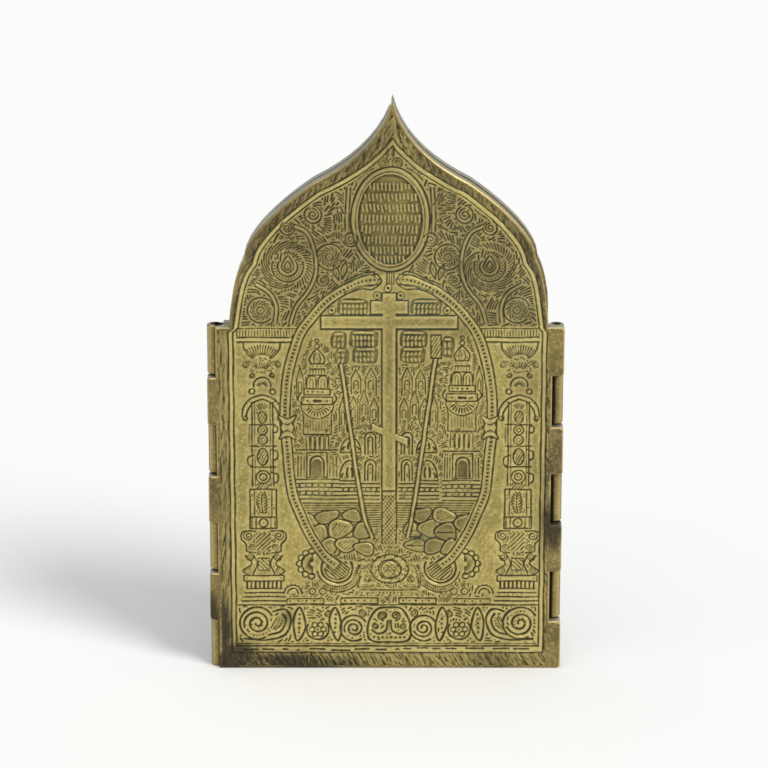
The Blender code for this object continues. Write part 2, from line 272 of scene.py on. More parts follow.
def spiral(centre, outer, turns, start, way=1, inner=0.25, pen=LINE):
    """A spiral that winds in from its outer radius. The way is 1 for counterclockwise."""
    share = np.linspace(0.0, 1.0, int(20 * turns) + 6)
    turn = math.radians(start) + way * 2 * math.pi * turns * share
    radius = outer + (inner - outer) * share
    points = np.column_stack([centre[0] + radius * np.cos(turn), centre[1] + radius * np.sin(turn)])
    return stroke(points, pen)


def beside(path, offset):
    """A path moved to its left by an offset."""
    way = np.gradient(path, axis=0)
    return path + offset * np.column_stack([-way[:, 1], way[:, 0]]) / np.hypot(*way.T)[:, None]


def dot(place, pen=BOLD):
    """A single round mark."""
    return np.array([[place[0], place[1], 0.5 * pen[0], pen[1]]])


def dots(points, pitch, pen=BOLD):
    """Dots along a line."""
    path = sampled(points)
    return [dot(place, pen) for place in path[:: max(1, round(pitch / STROKE_STEP))]]


def rays(centre, inner, outer, start, end, count, pen=FINE, taper=0.4):
    """Short strokes that point away from a centre."""
    centre = np.array(centre, float)
    strokes = []
    for turn in np.radians(np.linspace(start, end, count)):
        way = np.array([math.cos(turn), math.sin(turn)])
        strokes.append(stroke([centre + inner * way, centre + outer * way], pen, taper))
    return strokes


def rectangle(x_span, z_span):
    """The corners of a rectangle, counterclockwise."""
    (left, right), (low, high) = x_span, z_span
    return np.array([(left, low), (right, low), (right, high), (left, high)])


def box_lines(x_span, z_span, pen=LINE):
    """A stroke round a rectangle."""
    return [stroke(rectangle(x_span, z_span), pen, closed=True)]


def comb(x_span, z_span, pitch, pen=LINE):
    """Upright strokes side by side."""
    count = max(1, round((x_span[1] - x_span[0]) / pitch))
    return uprights(np.linspace(*x_span, count + 1), *z_span, pen)


def ladder(x_span, z_span, pitch, pen=LINE):
    """Level strokes one above the other."""
    count = max(1, round((z_span[1] - z_span[0]) / pitch))
    places = np.linspace(*z_span, count + 1)
    return [stroke([(x_span[0], z), (x_span[1], z)], pen) for z in places]


def within(polygon, points):
    """Which points lie inside a polygon."""
    polygon = np.asarray(polygon, float)
    x, z = points[:, 0], points[:, 1]
    inside = np.zeros(len(points), bool)
    for (xa, za), (xb, zb) in zip(polygon, np.roll(polygon, -1, axis=0)):
        if za != zb:
            inside ^= ((za > z) != (zb > z)) & (x < xa + (z - za) * (xb - xa) / (zb - za))
    return inside


def hatch(polygon, angle, pitch, pen=FINE):
    """Parallel strokes across a polygon, at an angle in degrees."""
    polygon = np.asarray(polygon, float)
    middle = polygon.mean(axis=0)
    reach = np.hypot(*(polygon - middle).T).max()
    way = np.array([math.cos(math.radians(angle)), math.sin(math.radians(angle))])
    across = np.array([-way[1], way[0]])
    strokes = []
    for offset in np.arange(-reach, reach, pitch):
        row = stroke([middle + offset * across - reach * way, middle + offset * across + reach * way], pen)
        kept = row[within(polygon, row[:, :2])]
        if len(kept):
            strokes.append(kept)
    return strokes


def file_marks(polygon, angle, spread, pitch, rng, length=3.2, depths=(0.05, 0.2)):
    """Loose scratches that a coarse file leaves, each at its own angle, length and depth."""
    polygon = np.asarray(polygon, float)
    low, high = polygon.min(axis=0), polygon.max(axis=0)
    count = int((high[0] - low[0]) * (high[1] - low[1]) / (pitch * length))
    strokes = []
    for _ in range(count):
        place = low + rng.random(2) * (high - low)
        turn = math.radians(angle + rng.normal(0.0, spread))
        half = 0.5 * length * rng.uniform(0.5, 1.4) * np.array([math.cos(turn), math.sin(turn)])
        row = stroke([place - half, place + half], (rng.uniform(0.34, 0.62), rng.uniform(*depths)), taper=0.8)
        kept = row[within(polygon, row[:, :2])]
        if len(kept) > 3:
            strokes.append(kept)
    return strokes


def leaf(base, tip, width, bend=0.0, pen=FINE, gap=0.8, sides=(-1, 1)):
    """A pointed leaf: a bent midrib with veins that lean towards the tip."""
    base, tip = np.array(base, float), np.array(tip, float)
    length = math.dist(base, tip)
    along = (tip - base) / length
    across = np.array([-along[1], along[0]])

    def on_rib(share):
        return base + share * length * along + bend * length * math.sin(math.pi * share) * across

    strokes = [stroke([on_rib(share) for share in np.linspace(0, 1, 12)], pen, taper=0.6)]
    count = max(2, int(length / gap))
    for share in (np.arange(count) + 0.4) / count:
        root = on_rib(share)
        reach = width * math.sin(math.pi * (0.2 + 0.7 * share))
        for side in sides:
            start = root + side * 0.3 * across
            middle = root + reach * (0.6 * side * across + 0.25 * along)
            end = root + reach * (side * across + 0.75 * along)
            strokes.append(stroke([start, middle, end], pen, taper=0.4))
    return strokes


def petal(base, tip, width, pen=LINE):
    """A plain pointed petal with a groove along its middle."""
    base, tip = np.array(base, float), np.array(tip, float)
    across = np.array([-(tip - base)[1], (tip - base)[0]]) / math.dist(base, tip)
    strokes = []
    for side in (-1, 1):
        belly = base + 0.55 * (tip - base) + side * width * across
        strokes.append(curl([base, belly, tip], pen))
    strokes.append(stroke([base + 0.25 * (tip - base), base + 0.7 * (tip - base)], FINE, taper=0.5))
    return strokes


def by_hand(points):
    """Stroke points with an unsteady hand's drift, and shallower where the casting is rubbed."""
    x, z = points[:, 0], points[:, 1]
    drift_x = 0.05 * np.sin(0.31 * x + 0.42 * z) + 0.006 * np.sin(1.9 * z - 0.7 * x + 1.0)
    drift_z = 0.05 * np.sin(0.37 * z - 0.45 * x + 2.0) + 0.006 * np.sin(2.1 * x + 0.6 * z)
    press = 0.9 + 0.16 * np.sin(0.5 * x + 0.2 * z) * np.sin(0.4 * z + 1.0) + 0.1 * np.sin(2.1 * x - 1.3 * z)
    radius = points[:, 2] * (0.5 + 0.5 * press)
    return np.column_stack([x + drift_x, z + drift_z, radius, points[:, 3] * press])


# A face that is being engraved

class Plate:
    """Heights of a cast face over a grid, measured from its level surface.

    Grid points are half a mesh cell apart, so that each corner of the mesh is the mean of those round it.
    """

    def __init__(self, outline, cell):
        self.outline = np.asarray(outline, float)
        self.cell = cell
        self.step = cell / 2
        low = np.floor(self.outline.min(axis=0) / cell) * cell
        cells = np.ceil((self.outline.max(axis=0) - low) / cell).astype(int)
        self.x = low[0] + self.step * np.arange(2 * cells[0] + 1)
        self.z = low[1] + self.step * np.arange(2 * cells[1] + 1)
        shape = (len(self.z), len(self.x))
        self.ground = np.zeros(shape)
        self.ridge = np.zeros(shape)
        self.groove = np.zeros(shape)
        self.tarnish = np.zeros(shape)
        self.verdigris = np.zeros(shape)

    def inside(self, polygon):
        """Which grid points lie inside a polygon."""
        polygon = np.asarray(polygon, float)
        columns = slice(*np.searchsorted(self.x, (polygon[:, 0].min(), polygon[:, 0].max())))
        rows = slice(*np.searchsorted(self.z, (polygon[:, 1].min(), polygon[:, 1].max())))
        x, z = self.x[columns][None, :], self.z[rows][:, None]
        found = np.zeros((z.shape[0], x.shape[1]), bool)
        for (xa, za), (xb, zb) in zip(polygon, np.roll(polygon, -1, axis=0)):
            if za != zb:
                found ^= ((za > z) != (zb > z)) & (x < xa + (z - za) * (xb - xa) / (zb - za))
        whole = np.zeros(self.ground.shape, bool)
        whole[rows, columns] = found
        return whole

    def level(self, polygon, height):
        """Bring an area to one height and smooth away what was engraved there."""
        inside = self.inside(polygon)
        self.ground[inside] = height
        self.ridge[inside] = 0.0
        self.groove[inside] = 0.0

    def dome(self, centre, radii, height, tilt=0.0):
        """A low rounded swelling over an ellipse."""
        turn = math.radians(tilt)
        x, z = self.x[None, :] - centre[0], self.z[:, None] - centre[1]
        along = (x * math.cos(turn) + z * math.sin(turn)) / radii[0]
        across = (z * math.cos(turn) - x * math.sin(turn)) / radii[1]
        self.ridge = np.maximum(self.ridge, height * np.clip(1 - along**2 - across**2, 0.0, 1.0))

    def patch(self, centre, radii, strength):
        """A spot that fades outwards."""
        x, z = self.x[None, :] - centre[0], self.z[:, None] - centre[1]
        return strength * np.exp(-((x / radii[0]) ** 2) - (z / radii[1]) ** 2)

    def darken(self, polygon, strength):
        """Brown an area evenly."""
        self.tarnish[self.inside(polygon)] = strength

    def stamp(self, field, strokes):
        """Press strokes into a field, each point with a round profile."""
        points = by_hand(np.vstack(strokes))
        reaches = np.ceil(points[:, 2] / self.step).astype(int)
        flat = field.reshape(-1)
        rows, columns = field.shape
        for reach in np.unique(reaches):
            group = points[reaches == reach]
            column = (group[:, 0] - self.x[0]) / self.step
            row = (group[:, 1] - self.z[0]) / self.step
            near_column, near_row = np.rint(column).astype(int), np.rint(row).astype(int)
            radius = np.maximum(group[:, 2] / self.step, 0.7)
            for down in range(-reach, reach + 1):
                for right in range(-reach, reach + 1):
                    c, r = near_column + right, near_row + down
                    profile = 1 - ((c - column) ** 2 + (r - row) ** 2) / radius**2
                    hit = (profile > 0) & (c >= 0) & (c < columns) & (r >= 0) & (r < rows)
                    np.maximum.at(flat, r[hit] * columns + c[hit], group[hit, 3] * profile[hit])

    def cut(self, *groups):
        """Sink strokes into the face."""
        self.stamp(self.groove, [row for group in groups for row in group])

    def raise_up(self, *groups):
        """Raise strokes above the face."""
        self.stamp(self.ridge, [row for group in groups for row in group])

    def open_ground(self, area, kept_clear, margin):
        """Which points of an area hold no stroke and lie outside the shapes that stay clear."""
        drawn = (self.groove > DRAWN) | (self.ridge > DRAWN)
        free = self.inside(area) & (box_mean(drawn.astype(float), round(margin / self.step)) < 0.001)
        for shape in kept_clear:
            free &= ~self.inside(shape)
        return free

    def heights(self):
        """The heights at the corners of the mesh cells."""
        return np.maximum(averaged(self.ground + self.ridge - self.groove), DEEPEST)


def averaged(field):
    """A field at the corners of the mesh cells, each the mean of the points round it."""
    padded = np.pad(field, 1, mode="edge")
    rows = (padded[:-2] + 2 * padded[1:-1] + padded[2:]) / 4
    return ((rows[:, :-2] + 2 * rows[:, 1:-1] + rows[:, 2:]) / 4)[::2, ::2]


def box_mean(field, reach):
    """A field with each value the mean over the square round it."""
    for axis in (0, 1):
        grown = [(reach + 1, reach) if a == axis else (0, 0) for a in (0, 1)]
        total = np.cumsum(np.pad(field, grown, mode="edge"), axis=axis)
        count = field.shape[axis]
        high, low = (np.take(total, range(start, start + count), axis) for start in (2 * reach + 1, 0))
        field = (high - low) / (2 * reach + 1)
    return field


# Ornament

# Foliage is laid out on every second grid point
GRAIN = 2


def ribbons(x, z, hearts, width):
    """Ribbons that wind round the hearts: each point's ribbon number, and the way of its hatching there."""
    x, z = np.meshgrid(x, z)
    nearest = np.full(x.shape, np.inf)
    owner = np.zeros(x.shape, int)
    hatching = np.zeros(x.shape)
    for index, (heart_x, heart_z) in enumerate(hearts):
        radius, turn = np.hypot(x - heart_x, z - heart_z), np.arctan2(z - heart_z, x - heart_x)
        way = -1 if index % 2 else 1
        wave = 0.32 * np.sin(3 * turn + 1.7 * index) + 0.22 * np.sin(0.5 * x + 0.7 * z + index)
        winding = np.floor(radius / width + way * turn / (2 * math.pi) + wave).astype(int)
        lean = np.radians(90 + way * np.where(winding % 2, 60, -22) + 12 * np.sin(2 * turn + index))
        nearer = radius < nearest
        nearest[nearer] = radius[nearer]
        owner[nearer] = 1000 * index + winding[nearer]
        hatching[nearer] = (turn + lean)[nearer]
    return owner, hatching


def hatch_stroke(free, owner, hatching, seed, margin, longest):
    """The places of one stroke that grows both ways from a seed until it leaves its ribbon or open ground."""
    home = owner[int(seed[1]) - margin, int(seed[0]) - margin] if free[int(seed[1]), int(seed[0])] else None
    runs = []
    for way in (-0.8, 0.8):
        c, r = seed
        run = []
        while 1.6 * len(run) < longest and free[int(r), int(c)]:
            turn = hatching[int(r) - margin, int(c) - margin]
            if owner[int(r) - margin, int(c) - margin] != home:
                break
            run.append((c, r))
            c += way * math.cos(turn)
            r += way * math.sin(turn)
        runs.append(run)
    return runs[0][::-1] + runs[1][1:]


def packed_strokes(free, owner, hatching, rng, reach, longest):
    """Strokes side by side along the hatching: the long ones first, then short ones in what is left."""
    margin = int(reach) + 2
    span = np.arange(-margin, margin + 1) + 0.5
    free = np.pad(free, margin)
    paths = []
    for shortest in (0.42 * longest, 1.2 * reach):
        for cell in rng.permutation(np.flatnonzero(free)):
            seeds = [(cell % free.shape[1] + 0.5, cell // free.shape[1] + 0.5)]
            while seeds:
                limit = longest * rng.uniform(0.6, 1.0)
                path = hatch_stroke(free, owner, hatching, seeds.pop(), margin, limit)
                if 0.8 * len(path) < shortest:
                    continue
                paths.append(np.array(path) - margin - 0.5)
                for c, r in path[1:-1]:
                    near_c, near_r = int(c), int(r)
                    apart = (span + near_r - r)[:, None] ** 2 + (span + near_c - c)[None, :] ** 2 > reach**2
                    free[near_r - margin:near_r + margin + 1, near_c - margin:near_c + margin + 1] &= apart
                for c, r in (path[len(path) // 3], path[2 * len(path) // 3]):
                    turn = hatching[int(r) - margin, int(c) - margin]
                    across = (reach + 0.6) * np.array([-math.sin(turn), math.cos(turn)])
                    seeds += [(c + across[0], r + across[1]), (c - across[0], r - across[1])]
    return paths


def covering(line, values):
    """The part of a grid line that covers some values, as a slice."""
    first, last = np.searchsorted(line, (values.min(), values.max()))
    return slice(max(0, first - 1), last + 1, GRAIN)


def foliage(plate, area, hearts, rng, pen=LINE, spacing=0.62, width=3.2, kept_clear=(), margin=0.24,
            raised=False):
    """Fill what is open in an area with hatched ribbons, like long leaves that wind round the hearts."""
    columns, rows = covering(plate.x, area[:, 0]), covering(plate.z, area[:, 1])
    x, z = plate.x[columns], plate.z[rows]
    free = plate.open_ground(area, kept_clear, margin)[rows, columns]
    owner, hatching = ribbons(x, z, hearts, width)
    pitch = plate.step * GRAIN
    paths = packed_strokes(free, owner, hatching, rng, spacing / pitch, 1.6 * width / pitch)
    strokes = [stroke(path * pitch + (x[0], z[0]), pen, taper=0.5 * spacing) for path in paths]
    if strokes:
        (plate.raise_up if raised else plate.cut)(strokes)


def whirl(centre, inner, outer, lean, count, pen=FINE, start=0.0, end=360.0, taper=0.5):
    """Bent strokes round a centre that lean as they run outwards."""
    strokes = []
    shares = np.linspace(0.0, 1.0, 7)
    for turn in np.linspace(start, end, count, endpoint=(end - start) % 360 != 0):
        turns = np.radians(turn + lean * shares)
        radii = inner + (outer - inner) * shares
        points = np.column_stack([centre[0] + radii * np.cos(turns), centre[1] + radii * np.sin(turns)])
        strokes.append(stroke(points, pen, taper))
    return strokes


def scroll_flower(centre, radius, way=1, start=90.0, pen=LINE):
    """A curled flower: a nested teardrop heart over a fringed collar, with long strokes sweeping round it."""
    centre = np.array(centre, float)
    strokes = [dot(centre, pen)]
    for heart in (0.12 * radius, 0.23 * radius):
        tear = [centre + (0, 1.9 * heart), centre + (-heart, 0), centre + (0, -heart), centre + (heart, 0)]
        strokes.append(curl(tear, pen, closed=True))
    close, wide = round(1.3 * radius / pen[0]), round(0.9 * radius / pen[0])
    fringe = 0.68 * radius
    strokes += [ring(centre, 0.38 * radius, pen, 150, 390), ring(centre, 0.6 * radius, pen, 160, 380)]
    strokes += whirl(centre, 0.43 * radius, 0.55 * radius, way * 8, close, pen, 165, 375)
    strokes += whirl(centre, fringe, 1.04 * radius, way * 74, wide, pen, start + 20, start + 215)
    strokes += whirl(centre, fringe, 0.98 * radius, way * 14, close, pen, start + 225, start + 355)
    return strokes


def rosette(centre, radius, petals=9, way=1, pen=FINE, edge=LINE):
    """A small whirling flower."""
    strokes = [dot(centre, edge), ring(centre, 0.32 * radius, pen)]
    strokes += whirl(centre, 0.42 * radius, 0.96 * radius, way * 62, petals, pen)
    strokes.append(ring(centre, 1.14 * radius, edge, 20, 320))
    return strokes


def scroll(centre, radius, start=0.0, way=1, pen=LINE):
    """A small spiral."""
    return [spiral(centre, radius, 1.7, start, way, pen=pen)]


# The cover's border, with two lines that follow the head and the straight sides

# Distance from the head's edge, places of the left and right stretches, and height of the bottom one
BORDER_LINES = ((2.9, 47.0, 46.4, 5.0), (4.3, 45.6, 45.0, 7.1))
BORDER_SHOULDER = 105.4
FILED_FOOT = 4.9
DASH_SPAN = (-44.0, 43.0)
DASH_HEIGHTS = (5.7, 6.4)


def border_path(distance, left, right, bottom):
    """A line that runs round the engraving inside its border."""
    top = head_line(distance)
    top = top[top[:, 1] > BORDER_SHOULDER]
    rise = [(-left, bottom), (-left, BORDER_SHOULDER)]
    return np.vstack([rise, top, [(right, BORDER_SHOULDER), (right, bottom)]])


def border(plate, rng):
    """The border's double line, its irregular dashes below and the file marks outside it."""
    left, right, low = plate.outline[:, 0].min(), plate.outline[:, 0].max(), plate.outline[:, 1].min()
    slopes = [head_side(way, HEAD_HALF_WIDTH, HEAD_HEIGHT) for way in (-1, 1)]
    outer_head = head_line(BORDER_LINES[0][0])
    middle = len(outer_head) // 2
    plate.cut(
        file_marks(np.vstack([slopes[0], outer_head[: middle + 1]]), 66, 11, 0.24, rng, 3.2, (0.08, 0.26)),
        file_marks(np.vstack([slopes[1], outer_head[:middle:-1]]), 104, 12, 0.24, rng, 3.2, (0.08, 0.26)),
        file_marks(rectangle((left, -47.0), (low, 106.4)), 87, 6, 0.4, rng, 6.0, (0.04, 0.18)),
        file_marks(rectangle((46.6, right), (low, 106.4)), 112, 11, 0.34, rng, 4.4, (0.08, 0.24)),
        file_marks(rectangle((-47.0, right), (low, FILED_FOOT)), 122, 6, 0.3, rng, 4.4, (0.1, 0.28)),
    )
    for line, pen in zip(BORDER_LINES, (LINE, BOLD)):
        path = border_path(*line)
        plate.cut([stroke(path, LINE), stroke([path[0], path[-1]], pen)])
    x, end = DASH_SPAN
    while x < end:
        length = rng.uniform(1.2, 6.5)
        z = rng.uniform(*DASH_HEIGHTS)
        plate.cut([stroke([(x, z), (x + length, z + rng.uniform(-0.2, 0.2))], BOLD, taper=0.5)])
        x += length + rng.uniform(0.6, 2.4)


# The cartouche and the foliage round it

CARTOUCHE = (0.5, 139.6)
CARTOUCHE_RADII = (11.0, 15.2)
TALLY_ROWS = (149.4, 146.3, 143.1, 139.9, 136.7, 133.5, 130.4, 127.6)


def tally(x_span, z_span, pitch, rng):
    """Separate raised bars side by side, all with the same slight lean and some of them a little short."""
    low, high = z_span
    lean = rng.uniform(-0.12, 0.12)
    bars = []
    for x in np.arange(x_span[0] + 0.5 * pitch, x_span[1] - 0.2 * pitch, pitch):
        start = low + rng.choice((0.0, 0.0, 0.3)) * (high - low)
        end = high - rng.uniform(0.0, 0.12) * (high - low)
        bars.append(stroke([(x - lean, start), (x + lean, end)], RAISED))
    return bars


def cartouche(plate, rng):
    """The oval tablet: two rings, rows of bars, straps with curled ends and a stem below."""
    x, z = CARTOUCHE
    wide, high = CARTOUCHE_RADII
    plate.level(arc(CARTOUCHE, (wide + 0.9, high + 0.9)), 0.0)
    plate.level(arc(CARTOUCHE, (wide - 1.5, high - 1.6)), -0.24)
    plate.cut([stroke(arc(CARTOUCHE, (wide + 0.5, high + 0.5)), BOLD)])
    plate.cut([stroke(arc(CARTOUCHE, (wide - 0.9, high - 0.9)), FINE)])
    plate.darken(arc(CARTOUCHE, (wide - 1.2, high - 1.3)), 0.3)
    for row in TALLY_ROWS:
        share = 1 - ((row - z) / (high - 1.2)) ** 2
        reach = (wide - 2.1) * math.sqrt(max(share, 0.05))
        plate.raise_up(tally((x - reach, x + reach), (row - 0.95, row + 0.95), 1.12, rng))
    for side in (-1, 1):
        strap = [(x + side * 11.6, z + 9.5), (x + side * 12.0, z + 1.0), (x + side * 12.0, z - 3.5)]
        plate.cut([curl(strap, LINE), curl([(px + side * 1.1, pz) for px, pz in strap], LINE)])
        plate.cut(scroll((x + side * 11.7, z - 6.0), 1.7, 90, -side))
        plate.cut([ring((x + side * 11.7, z - 6.0), 2.1, LINE, 200, 520)])
        plate.cut(scroll((x + side * 2.0, z + 16.9), 1.15, 250, side, FINE))
        plate.cut([ring((x + side * 2.0, z + 16.9), 1.5, FINE)])
        plate.cut(leaf((x + side * 4.3, z + 15.6), (x + side * 9.6, z + 11.6), 0.9, side * 0.08))
        plate.cut(leaf((x + side * 0.9, z + 18.2), (x + side * 0.9, z + 21.8), 0.7, 0.0, gap=0.7))
    plate.cut(comb((x - 1.0, x + 1.0), (120.0, z - high - 0.8), 0.7, FINE))


# Place, radius, way and start of each flower
FLOWERS = (
    ((29.4, 125.4), 7.6, 1, 100.0),
    ((17.2, 128.3), 3.4, -1, 60.0),
    ((37.4, 112.2), 3.4, 1, 20.0),
)
SCROLLS = (((29.4, 137.0), 1.5), ((19.2, 121.4), 1.2), ((22.0, 141.0), 1.8))
STEMS = (
    ((27.4, 137.6), (23.6, 135.4), (21.6, 130.2), (21.2, 124.0), (23.2, 118.4), (27.0, 113.4), (28.6, 108.4)),
    ((38.8, 120.0), (34.8, 117.4), (32.8, 113.2), (33.2, 108.4)),
)


def head_field(plate):
    """The slightly sunk ground of the head inside its border."""
    line = head_line(BORDER_LINES[1][0] + 0.5)
    line = line[line[:, 1] > 107.3]
    field = np.vstack([line, [(line[-1][0], 107.2), (line[0][0], 107.2)]])
    plate.level(field, -0.05)
    plate.darken(field, 0.36)
    return field


def head_foliage(plate, field, rng):
    """Curled flowers and leaves that fill the head on both sides of the cartouche."""
    hearts = []
    for side in (-1, 1):
        for (x, z), radius, way, start in FLOWERS:
            hearts.append((side * x, z))
            if radius > 5:
                plate.cut(scroll_flower(hearts[-1], radius, side * way, start if side > 0 else 180 - start))
            else:
                plate.cut(rosette(hearts[-1], radius, 12, side * way))
        for (x, z), radius in SCROLLS:
            hearts.append((side * x, z))
            plate.cut(scroll(hearts[-1], radius, 90, side), [ring(hearts[-1], 1.4 * radius, LINE, 120, 420)])
        for points in STEMS:
            middle = bent(mirrored(side, points))
            edges = beside(middle, 0.55), beside(middle, -0.55)
            plate.level(np.vstack([edges[0], edges[1][::-1]]), 0.04)
            plate.cut([stroke(edge, LINE) for edge in edges])
        for ends in (((13.6, 121.6), (12.4, 127.0)), ((14.6, 121.3), (15.9, 126.0))):
            plate.cut(petal(*mirrored(side, ends), 0.85))
    foliage(plate, field, hearts, rng, LINE, 0.58, 3.6, [arc(CARTOUCHE, (12.0, 16.2)), wreath_shape(1.8)])


# The beaded wreath, by the middle line of its right half

WREATH = (
    (2.9, 121.6), (7.3, 121.1), (13.1, 118.4), (18.3, 114.7), (22.4, 110.1), (25.7, 105.4), (28.2, 98.5),
    (29.8, 91.0), (30.5, 82.5), (30.4, 74.6), (29.9, 68.9), (29.3, 61.7), (28.3, 54.6), (25.6, 47.7),
    (22.6, 41.2), (18.9, 35.7), (15.4, 32.6),
)
WREATH_HALF_BAND = 1.15
CLASP_SPAN = (72.6, 79.8)


def wreath_side(side, offset=0.0):
    """The wreath's middle line on one side, moved outwards by an offset."""
    return beside(bent(mirrored(side, WREATH)), side * offset)


def wreath_shape(offset=0.0):
    """The closed outline of the wreath."""
    return np.vstack([wreath_side(1, offset), wreath_side(-1, offset)[::-1]])


def wreath(plate):
    """A beaded band with rounded leaf ends at the top and a spool clasp halfway up each side."""
    for side in (-1, 1):
        outer, inner = (wreath_side(side, way * (WREATH_HALF_BAND + 0.35)) for way in (1, -1))
        plate.level(np.vstack([outer, inner[::-1]]), 0.02)
        for way in (-1, 1):
            plate.cut([stroke(wreath_side(side, way * (WREATH_HALF_BAND + 0.3)), LINE)])
            plate.cut([stroke(wreath_side(side, way * 0.5), HAIR)])
        plate.cut(dots(wreath_side(side), 1.25, (1.0, 0.3)))
        x = side * 29.9
        low, high = CLASP_SPAN
        waist = 0.5 * (low + high)
        clasp = bent(
            [(x - 2.6, high), (x - 1.5, waist + 1.4), (x - 1.9, waist), (x - 1.5, waist - 1.4),
             (x - 2.4, low), (x, low + 0.9), (x + 2.4, low), (x + 1.6, waist - 1.4), (x + 2.0, waist),
             (x + 1.6, waist + 1.4), (x + 2.6, high), (x, high - 0.9)], closed=True)
        plate.level(clasp, 0.06)
        plate.cut([stroke(clasp, LINE)])
        plate.cut([curl([(x - 1.6, waist + 1.7), (x, waist + 0.9), (x + 1.6, waist + 1.7)], FINE)])
        plate.cut([curl([(x - 1.6, waist - 1.7), (x, waist - 0.9), (x + 1.6, waist - 1.7)], FINE)])
        end = (side * 4.6, 121.2)
        for radius in (1.5, 2.5):
            tip = bent([(side * 13.0, 118.4 - radius * 0.55), (side * 8.0, end[1] - radius),
                        (end[0], end[1] - radius), (end[0] - side * radius, end[1]),
                        (end[0], end[1] + radius), (side * 7.5, end[1] + radius - 0.3),
                        (side * 13.0, 118.4 + radius)])
            plate.cut([stroke(tip, LINE)])


# The cross and what surrounds it inside the wreath

POST = ((-1.7, 2.1), (56.6, 117.2))
TOP_BAR = ((-5.1, 5.5), (111.3, 114.9))
MAIN_BAR = ((-19.7, 20.0), (106.7, 110.4))
FOOT_BAR = ((-5.0, 76.4), (5.6, 71.6))
CROSS_HEIGHT = 0.06


def cross_shapes(grown=0.0):
    """The outlines of the cross's post and its three bars, the lowest one slanted."""
    (foot_left, foot_high), (foot_right, foot_low) = FOOT_BAR
    half = 1.0 + grown
    slant = np.array([(foot_left, foot_high - half), (foot_right, foot_low - half),
                      (foot_right, foot_low + half), (foot_left, foot_high + half)])
    return [inset(rectangle(*bar), -grown) for bar in (POST, TOP_BAR, MAIN_BAR)] + [slant]


def cross(plate, rng):
    """The plain cross with three bars, standing a little proud of a sunk margin."""
    for shape in cross_shapes(0.45)[:3]:
        plate.level(shape, -0.2)
    shapes = cross_shapes()
    plate.cut([stroke(shapes[3], FINE, closed=True)])
    for shape in shapes:
        plate.level(shape, CROSS_HEIGHT)
    for shape, angle in zip(shapes, (84, 12, 8)):
        plate.cut(file_marks(shape, angle, 30, 1.3, rng, 2.4, (0.02, 0.06)))


def column_of_lozenges(plate):
    """The chequered column that carries the cross."""
    shape = rectangle((-1.8, 2.2), (40.0, 54.9))
    plate.level(shape, 0.0)
    plate.cut(hatch(shape, 52, 0.86), hatch(shape, 128, 0.86))
    plate.cut(uprights((-1.9, 2.3), 40.0, 56.0))


# Spans of the tablets, across and up
TALLY_BLOCKS = (
    ((-14.4, -6.6), (111.2, 114.2)), ((7.0, 14.8), (111.2, 114.2)),
    ((-10.9, -3.6), (101.4, 104.6)), ((3.9, 10.8), (101.4, 104.6)),
    ((-10.0, -3.7), (96.6, 99.6)), ((3.9, 10.2), (96.6, 99.6)),
    ((-16.4, -12.8), (101.0, 104.2)), ((-15.2, -12.2), (96.2, 99.2)), ((16.0, 18.8), (98.4, 102.6)),
)


def tablet(x_span, z_span):
    """A soft-cornered shape that bulges a little differently on each side."""
    (left, right), (low, high) = x_span, z_span
    x, z = 0.5 * (left + right), 0.5 * (low + high)
    lean = 0.3 * math.sin(3 * x + z)
    corners = ((left, low + 0.3), (x + lean, low - 0.3), (right - 0.3, low), (right + 0.3, z - lean),
               (right, high - 0.2), (x - lean, high + 0.5), (left + 0.3, high), (left - 0.4, z + lean))
    return bent(corners, closed=True)


def tally_blocks(plate, rng):
    """Sunk tablets with two rows of short raised bars, where words stand on such icons, under a fillet."""
    for x_span, (low, high) in TALLY_BLOCKS:
        left, right = x_span
        shape = tablet((left - 0.3, right + 0.3), (low - 0.3, high + 1.2))
        plate.level(shape, -0.17)
        plate.darken(shape, 0.12)
        middle = 0.5 * (low + high)
        for row in ((low + 0.1, middle - 0.45), (middle + 0.3, high - 0.35)):
            plate.raise_up(tally(x_span, row, 1.15, rng))
        plate.raise_up([stroke([(left + 0.7, high + 0.75), (right - 0.7, high + 0.75)], RAISED)])


def small_rings(plate):
    """Little rings that stand where the cross's arms end."""
    for place in ((-0.2, 118.9), (-3.3, 116.7), (3.5, 116.7), (-16.6, 112.2), (17.0, 112.2)):
        plate.level(arc(place, (1.25, 1.25)), -0.2)
        plate.raise_up([ring(place, 0.72, RAISED)])


def arched_opening(x, low, half_width, height, pen=LINE):
    """A doorway or window with a round top."""
    left, right = x - half_width, x + half_width
    top = low + height - half_width
    crown = arc((x, top), (half_width, half_width), 180, 0)
    return [stroke(np.vstack([[(left, low), (left, top)], crown, [(right, low)]]), pen)]


def arcade(x_span, z_span, count):
    """A row of narrow arches."""
    width = (x_span[1] - x_span[0]) / count
    strokes = []
    for index in range(count):
        x = x_span[0] + (index + 0.5) * width
        strokes += arched_opening(x, z_span[0], 0.36 * width, z_span[1] - z_span[0], FINE)
    return strokes


